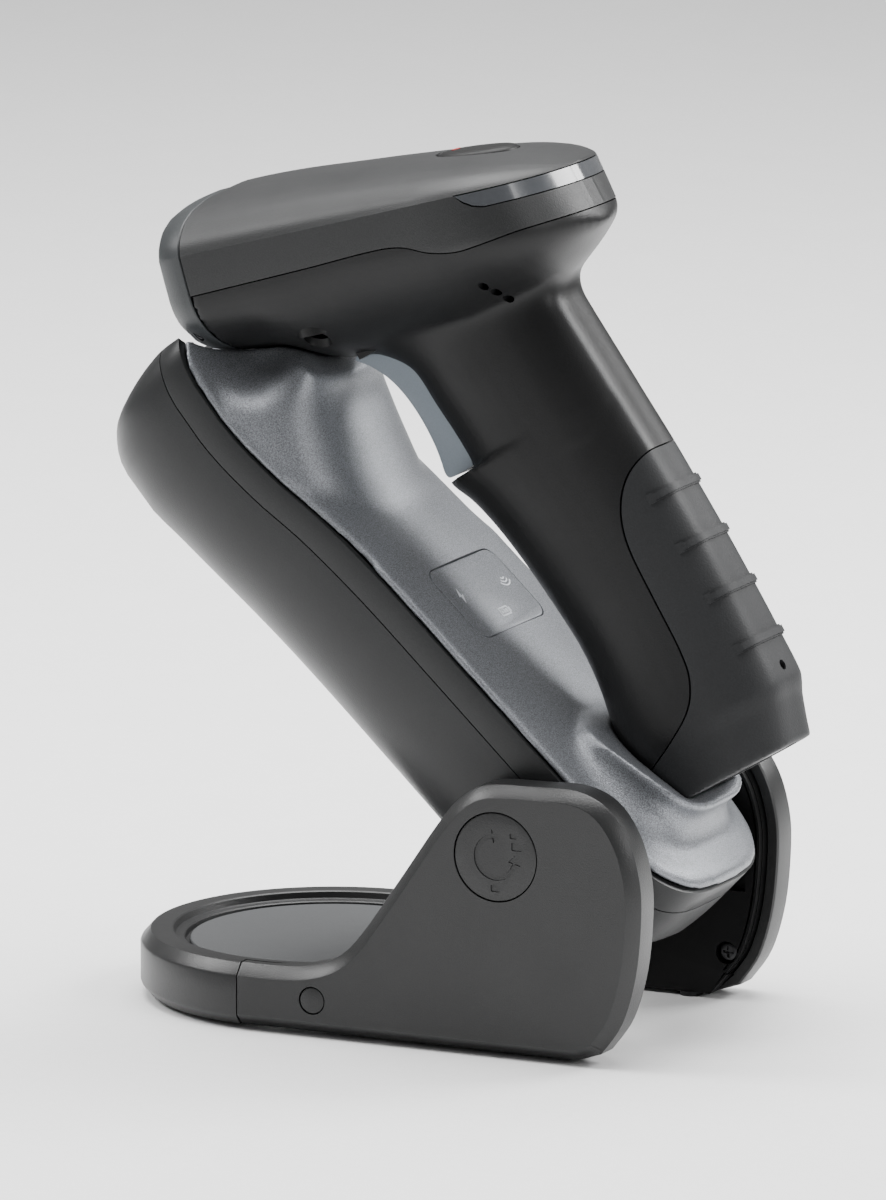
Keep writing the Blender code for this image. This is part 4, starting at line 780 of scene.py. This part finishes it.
def ear_outline(inset=0.0, start=-3 * MM):
    """Side outline of an ear behind start; inset moves its curved rim inwards."""
    curve = curve_through(mm_pairs(EAR_CURVE), 5)
    moved = []
    for before, here, after in zip(curve, curve[1:], curve[2:] + [(EAR_FOOT, FLOOR_GAP)]):
        along = Vector((after[0] - before[0], after[1] - before[1])).normalized()
        moved.append((here[0] + along.y * inset, here[1] - along.x * inset))
    kept = [point for point in moved if point[0] > start + 1 * MM]
    return [(start, FLOOR_GAP), (start, kept[0][1])] + kept + [(EAR_FOOT, FLOOR_GAP)]


def base_ring():
    """Round front of the base, turned, with room for the ears and the supply socket."""
    outer = [(0, 13.9), (37.6, 13.9), (38.1, 14.1), (38.4, 15.2), (38.8, 15.5), (40.4, 15.6), (40.8, 15.8),
             (41.4, 17.3), (41.8, 17.56), (46.6, 17.56), (47.3, 17.35), (49.7, 14.7), (50.0, 14.0),
             (50.0, 4.3), (49.7, 3.5), (47.6, 1.2)]
    inner = [(45.4, 1.2), (47.6, 4.4), (47.6, 13.2), (45.8, 15.2), (43.0, 15.2), (40.6, 11.7), (0, 11.7)]
    ring = turned("Base_ring", mm_pairs(outer + inner))
    for side in (-1, 1):
        ear = side_box("ear_room", (-3.4, 34.2, 0), (60, 52, 20), side)
        cut_away(ear, rod("keep", (0, 0, 0), DISH_ROUND, -1 * MM, 30 * MM, sides=160))
        cut_away(ring, ear)
    cut_away(ring, box("port_room", mm(44, -8.3, 3.6), mm(54, 8.3, 12.4)))
    fit(ring, "stand", "base", "base_ring", angle=25)
    pad = [(0, 15.2), (36.2, 15.2), (36.8, 15.0), (37.0, 14.7), (37.0, 14.2), (0, 14.2)]
    fit(turned("Dish_mat", mm_pairs(pad)), "mat", "base", "dish_mat")


def both_sides(thing, name, finish_name, node, angle=30, broken=None):
    """Fit a near-side piece and its mirror image."""
    far = copy_of(thing, name + "_far", MIRROR)
    thing.name = name + "_near"
    fit(thing, finish_name, "base", node + "_near", angle=angle, broken=broken)
    fit(far, finish_name, "base", node + "_far", angle=angle, broken=broken)


def side_covers():
    """Outer shells of the ears, with their chamfered rims."""
    rings = []
    for depth, inset in ((38.6, 0.5), (39.1, 0.12), (39.7, 0), (46.85, 0), (47.15, 0.16), (49.82, 2.84), (50, 3.15)):
        lift = inset * MM
        rings.append([Vector((x, -depth * MM, z + (lift if z < FLOOR_GAP + 0.1 * MM else 0)))
                      for x, z in ear_outline(lift)])
    cover = loft("Side_cover", rings)
    cut_away(cover, prism("hollow", ear_outline(3 * MM, 3 * MM), -30 * MM, -47.0 * MM),
             rod("dish", (0, 0, 0), 44.3 * MM, -1 * MM, 30 * MM, sides=160),
             rod("cap_room", TILT_AXIS, 11.8 * MM, -60 * MM, -45 * MM, "Y", 96),
             rod("plug_room", PLUG_SPOT, 3.7 * MM, -60 * MM, -45 * MM, "Y", 48))
    both_sides(cover, "Side_cover", "stand", "side_cover", angle=18)


def side_liners():
    """Inner plates of the ears: a raised rib, a latch slot and a screw in its recess."""
    plate = prism("Side_liner", ear_outline(3.5 * MM, 5 * MM), -36.6 * MM, -41 * MM)
    for outer, inner, face in ((3.8, 4.5, 34.8), (5.2, None, 35.3)):
        step = prism("step", ear_outline(outer * MM, 12 * MM), -face * MM, -38 * MM)
        if inner:
            cut_away(step, prism("inner", ear_outline(inner * MM, 13 * MM), -30 * MM, -40 * MM))
        union(plate, step)
    dish = rod("dish", (0, 0, 0), 51.5 * MM, -1 * MM, 60 * MM, sides=160)
    combine(dish, box("clear", mm(-10, -60, -2), mm(40, -30, 19.5)), "INTERSECT")
    spot = LINER_SCREW_SPOT
    cut_away(plate, dish, box("slot", mm(98.2, -37.4, 29.4), mm(102.2, -30, 35.6)),
             rod("seat", spot, 3.0 * MM, -38.5 * MM, -30 * MM, "Y", 48),
             rod("shank", spot, 1.3 * MM, -45 * MM, -30 * MM, "Y", 32),
             rod("pin", TILT_AXIS, 6.0 * MM, -45 * MM, -30 * MM, "Y", 64))
    both_sides(plate, "Side_liner", "black", "side_liner", angle=30)
    screw = rod("Liner_screw", spot, 2.5 * MM, -38.2 * MM, -36.6 * MM, "Y", 40)
    edge_break(screw, 0.35 * MM, 3)
    union(screw, rod("shank", spot, 1.0 * MM, -43 * MM, -37.5 * MM, "Y", 24))
    for wide, tall in ((1.5, 0.35), (0.35, 1.5)):
        cut_away(screw, box("recess", (spot[0] - wide * MM, -37.4 * MM, spot[2] - tall * MM),
                            (spot[0] + wide * MM, -36 * MM, spot[2] + tall * MM)))
    both_sides(screw, "Liner_screw", "dark_steel", "liner_screw", angle=30)


def pivot_parts():
    """Medallions over the pivot, with a plain two-headed arc and three pads, and the screw plugs."""
    cap = rod("Pivot_cap", TILT_AXIS, 11.5 * MM, -49.9 * MM, -46.9 * MM, "Y", 96)
    edge_break(cap, 0.3 * MM, 3)
    groove = []
    start, stop = 100, 345
    angles = [math.radians(start + (stop - start) * k / 48) for k in range(49)]
    groove.append([(6.1 * math.cos(a), 6.1 * math.sin(a)) for a in angles]
                  + [(4.9 * math.cos(a), 4.9 * math.sin(a)) for a in reversed(angles)])
    for angle, turn in ((start, -1), (stop, 1)):
        a = math.radians(angle)
        tip = a + turn * 0.42
        groove.append([(7.3 * math.cos(a), 7.3 * math.sin(a)), (3.7 * math.cos(a), 3.7 * math.sin(a)),
                       (5.5 * math.cos(tip), 5.5 * math.sin(tip))])
    groove.append(rounded_box(1.5, 1.1, 0.4, 3, (6.0, 3.2)))
    groove.append(rounded_box(1.0, 0.7, 0.3, 3, (5.0, 5.9)))
    groove.append(rounded_box(1.3, 0.9, 0.4, 3, (0, -8.2)))
    for shape in groove:
        moved = [(TILT_AXIS.x + x * MM, TILT_AXIS.z + y * MM) for x, y in shape]
        cut_away(cap, prism("mark", moved, -51 * MM, -49.6 * MM))
    both_sides(cap, "Pivot_cap", "stand", "pivot_cap")
    plug = rod("Side_plug", PLUG_SPOT, 3.4 * MM, -49.9 * MM, -46.9 * MM, "Y", 64)
    both_sides(plug, "Side_plug", "stand", "side_plug", broken=0.3 * MM)


# ---------------------------------------------------------------- scanner

def scanner_skin():
    """Head, neck and handle as one flowing body, with soft fillets where they meet."""
    skin = head_body("skin", 0, NOSE_SEAM + SEAM_GAP / 2)
    union(skin, neck_body("neck"), handle_body("handle"))
    inverse = HANDLE_FRAME.inverted()

    def near_joint(point):
        local = inverse @ point
        top = ease(119, 128, local.z / MM) * (1 - ease(146, 154, local.z / MM))
        wide = 1 - ease(27, 33, abs(local.y) / MM)
        return top * wide
    return soften(skin, 0.85 * MM, 16, near_joint, 2)


def rib(height):
    """Raised bar across the back of the grip, stepped in towards its top."""
    bar = None
    for proud, tall, wide in ((0.45, 1.35, 12.7), (0.85, 0.9, 12.2)):
        layer = handle_body("rib", -proud * MM)
        slab = box("slab", mm(14.8, -wide, height - tall), mm(40, wide, height + tall), HANDLE_FRAME)
        combine(layer, slab, "INTERSECT")
        cut_away(layer, handle_body("core", 0.8 * MM, -2.2 * MM))
        bar = union(bar, layer) if bar else layer
    return bar


def grip_overmould(skin):
    """Rubber grip with its ribs, and the cap in the handle's foot."""
    grip = copy_of(skin, "Grip")
    combine(grip, grip_block("region", 0), "INTERSECT")
    cut_away(grip, handle_body("core", 1.5 * MM, -1.4 * MM))
    for height in RIB_HEIGHTS:
        union(grip, rib(height))
    cut_away(grip, foot_opening("opening", BUTTON_GAP, -10 * MM, 5 * MM),
             rod("hole", mm(0, 0, 16), 1.4 * MM, 10 * MM, 40 * MM, "X", 32, place=HANDLE_FRAME))
    fit(grip, "rubber", "scanner", "grip_overmould", angle=38)
    cap = foot_opening("Bottom_cap", 0, -2.8 * MM, 0.8 * MM)
    fit(cap, "housing", "scanner", "bottom_cap", broken=0.4 * MM)


def main_housing(skin):
    """Underside of the head and the handle in one hollow moulding."""
    combine(skin, seam_block("below", False, SEAM_GAP / 2), "INTERSECT")
    cut_away(skin, grip_block("grip_room", 0.55 * MM))
    union(skin, handle_body("core", 1.8 * MM, -1.0 * MM, 88))
    cut_away(skin, head_body("hollow", HEAD_WALL, HOLLOW_FRONT), neck_body("neck_hollow", 2.4 * MM),
             handle_body("handle_hollow", 3.6 * MM, 1.6 * MM, 92), trigger_slot("slot"),
             foot_opening("opening", BUTTON_GAP, -10 * MM, 5 * MM))
    for side in (-1, 1):
        union(skin, side_box("lug", (-39.5, 8.9, 136.8), (-32.5, 11.4, 143.6), side, HANDLE_FRAME))
    for y in (-21.5, 21.5):
        union(skin, rod("boss", mm(1, y, 0), 4.8 * MM, -22 * MM, -9 * MM, place=HEAD_FRAME))
        cut_away(skin, rod("seat", mm(1, y, 0), 3.4 * MM, -40 * MM, -15 * MM, place=HEAD_FRAME),
                 rod("shank", mm(1, y, 0), 1.6 * MM, -20 * MM, 0, place=HEAD_FRAME))
    for x, z in ((8.5, 136.6), (9.1, 134.0), (9.2, 131.2)):
        cut_away(skin, rod("hole", mm(x, 0, z), 1.15 * MM, -40 * MM, -5 * MM, "Y", 32, place=HANDLE_FRAME))
    skin.name = "Main_housing"
    fit(skin, "housing", "scanner", "main_housing", angle=38)


def top_cover():
    """Cover of the head, with its light strip and its button."""
    cover = head_body("Top_cover", 0, NOSE_SEAM + SEAM_GAP / 2)
    combine(cover, seam_block("above", True, SEAM_GAP / 2), "INTERSECT")
    cut_away(cover, head_body("hollow", HEAD_WALL, HOLLOW_FRONT), strip_block("strip_room", BUTTON_GAP),
             prism("button_room", button_outline(BUTTON_GAP), 8 * MM, 30 * MM, "Z", HEAD_FRAME))
    fit(cover, "charcoal", "scanner", "top_cover", angle=16)
    strip = head_body("Light_strip")
    combine(strip, strip_block("band", 0), "INTERSECT")
    cut_away(strip, head_body("inside", 1.8 * MM, HOLLOW_FRONT))
    fit(strip, "smoke", "scanner", "light_strip", angle=30)
    rings = []
    for grow, height in ((0, 12.2), (0, 14.5), (-0.12, 14.85), (-0.45, 15.2), (-1.0, 15.5), (-1.9, 15.75),
                         (-3.2, 15.95), (-5.0, 16.05)):
        tilt = 0 if height == 12.2 else BUTTON_TILT
        rings.append([Vector((x, y, height * MM + tilt * (x - BUTTON_X))) for x, y in button_outline(grow * MM)])
    fit(loft("Top_button", rings, HEAD_FRAME), "black", "top_button", "top_button", angle=40)
    mark = []
    for height in (15.6, 16.12):
        ring = oval_ring(BUTTON_X - 6.0 * MM, 0.7 * MM, 2.2 * MM, 0, 2.2, 36)
        mark.append([Vector((p.x, p.y, height * MM + BUTTON_TILT * (p.x - BUTTON_X))) for p in ring])
    fit(loft("Button_mark", mark, HEAD_FRAME), "red", "top_button")


def nose_bezel():
    """Frame round the scan window, and the window behind it."""
    base = head_ring(NOSE_SEAM)
    rings = []
    for x, wide, tall in ((-26.15, 0.992, 0.994), (-26.45, 1.0, 1.0), (-28.5, 0.99, 0.995), (-31.3, 0.953, 0.972),
                          (-33.6, 0.905, 0.938), (-34.2, 0.888, 0.924), (-34.5, 0.872, 0.908)):
        rings.append([Vector((x * MM, p.y * wide, NOSE_MIDDLE + (p.z - NOSE_MIDDLE) * tall)) for p in base])
    bezel = loft("Nose_bezel", rings, HEAD_FRAME)
    mouth = []
    for x, grow in ((-36, 3.6), (-34.2, 2.0), (-33.6, 1.7), (-31, 0)):
        outline = rounded_box((25 + grow) * MM, (12.6 + grow) * MM, 5 * MM, 8, WINDOW_MIDDLE)
        mouth.append([Vector((x * MM, y, z)) for y, z in outline])
    seat = rounded_box(27.6 * MM, 15.2 * MM, 5 * MM, 8, WINDOW_MIDDLE)
    cut_away(bezel, loft("mouth", mouth, HEAD_FRAME), prism("seat", seat, -31.3 * MM, -20 * MM, "X", HEAD_FRAME))
    fit(bezel, "bezel", "scanner", "nose_bezel", angle=22)
    outline = rounded_box(27.2 * MM, 14.8 * MM, 4.6 * MM, 8, WINDOW_MIDDLE)
    window = prism("Scan_window", outline, -30.9 * MM, -29.5 * MM, "X", HEAD_FRAME)
    fit(window, "glass", "scanner", "scan_window", broken=0.3 * MM)


def trigger():
    """Blade with a concave finger face and a broad lighter facet along both its edges."""
    front = curve_through(mm_pairs([(-42.4, 137.4), (-39.2, 134.0), (-36.2, 129.0), (-34.3, 123), (-33.4, 116),
                                    (-33.4, 109), (-34.0, 104), (-34.6, 101.0), (-34.2, 99.2), (-32.6, 98.8)]), 6)
    back = mm_pairs([(-26.4, 98.8), (-25.6, 103), (-25.4, 122), (-28.0, 130), (-32.0, 136.4), (-32.4, 140),
                     (-33.6, 142.6), (-36, 143.5), (-38.4, 142.6), (-40.4, 139.2)])
    blade = prism("Trigger", front + back, -8 * MM, 8 * MM, "Y", HANDLE_FRAME)
    bm = bmesh.new()
    bm.from_mesh(blade.data)
    inverse = HANDLE_FRAME.inverted()
    rim = []
    for edge in bm.edges:
        ends = [inverse @ vert.co for vert in edge.verts]
        same_side = abs(ends[0].y - ends[1].y) < 1e-6
        if same_side and max(e.x for e in ends) < -32.9 * MM and max(e.z for e in ends) < 136.8 * MM:
            rim.append(edge)
    bmesh.ops.bevel(bm, geom=rim, offset=1.9 * MM, segments=3, profile=0.5, affect="EDGES", material=-1,
                    clamp_overlap=True)
    bm.to_mesh(blade.data)
    bm.free()
    cut_away(blade, rod("bore", mm(-36, 0, 140), 1.55 * MM, -20 * MM, 20 * MM, "Y", place=HANDLE_FRAME))
    fit(blade, "blue_grey", "trigger", "trigger", angle=24)


# ---------------------------------------------------------------- carried-over pieces, floor, light and camera

def dress_frame():
    """The hidden and small pieces keep their shape and get their finish."""
    chosen = {"base_floor": "black", "ballast_plate": "steel", "inlet_socket": "black", "pivot_pin_near": "steel",
              "pivot_pin_far": "steel", "friction_ring_near": "steel", "friction_ring_far": "steel",
              "charging_coil": "copper", "arm_board": "board", "arm_screw_1": "steel", "arm_screw_2": "steel",
              "window_gasket": "rubber", "imager_body": "black", "lens_barrel": "black", "led_board": "board",
              "main_board": "board", "button_switch": "black", "beeper": "black", "vibration_motor": "steel",
              "battery": "blue_grey", "battery_spring": "steel", "receiver_coil": "copper",
              "trigger_pin": "steel", "trigger_spring": "steel", "trigger_switch": "black",
              "case_screw_near": "dark_steel", "case_screw_far": "dark_steel"}
    chosen.update({"foot_%d" % number: "rubber" for number in range(1, 6)})
    for name, finish_name in chosen.items():
        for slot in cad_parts[name].material_slots:
            slot.material = FINISHES[finish_name]


def studio():
    """Pale floor and plain soft light."""
    scene = bpy.context.scene
    floor_paint = moulded("pale_floor", (0.80, 0.80, 0.80), 0.6, 300, 0.01, 0.01, edge_highlight_strength=0.0)
    bm = bmesh.new()
    bmesh.ops.create_grid(bm, x_segments=1, y_segments=1, size=6)
    floor = finish("Floor", bm)
    floor.data.materials.append(floor_paint)
    world = bpy.data.worlds.new("Studio")
    world.use_nodes = True
    scene.world = world
    background = world.node_tree.nodes["Background"]
    background.inputs["Color"].default_value = (1, 1, 1, 1)
    background.inputs["Strength"].default_value = 0.36
    middle = Vector((30, 0, 110)) * MM
    for name, spot, size, power in (("Overhead", (-100, 250, 1500), 1500, 72), ("Key", (-900, -300, 900), 450, 13),
                                    ("Rim", (700, 700, 700), 450, 14), ("Right", (1000, -200, 450), 350, 3)):
        lamp = bpy.data.lights.new(name, "AREA")
        lamp.size = size * MM
        lamp.energy = power
        thing = bpy.data.objects.new(name, lamp)
        scene.collection.objects.link(thing)
        thing.location = Vector(spot) * MM
        thing.rotation_euler = (middle - thing.location).to_track_quat("-Z", "Y").to_euler()


def camera():
    """A long lens from the nose side, a little above the head."""
    turn, lift = CAMERA_TURN, CAMERA_LIFT
    back = Vector((math.sin(turn) * math.cos(lift), -math.cos(turn) * math.cos(lift), math.sin(lift)))
    right = Vector((math.cos(turn), math.sin(turn), 0))
    up = back.cross(right)
    lens = bpy.data.cameras.new("Camera")
    lens.lens = CAMERA_LENS
    lens.sensor_width = 36
    lens.clip_end = 60
    view = bpy.data.objects.new("Camera", lens)
    aim_right, aim_up = CAMERA_AIM
    view.matrix_world = (Matrix.Translation((aim_right * right + aim_up * up + CAMERA_AWAY * back) * MM)
                         @ Matrix((right, up, back)).transposed().to_4x4())
    bpy.context.scene.collection.objects.link(view)
    bpy.context.scene.camera = view


base_ring()
side_covers()
side_liners()
pivot_parts()
arm_belly()
arm_band()
arm_shell()
status_panel()
whole = scanner_skin()
grip_overmould(whole)
main_housing(whole)
top_cover()
nose_bezel()
trigger()
dress_frame()
studio()
camera()
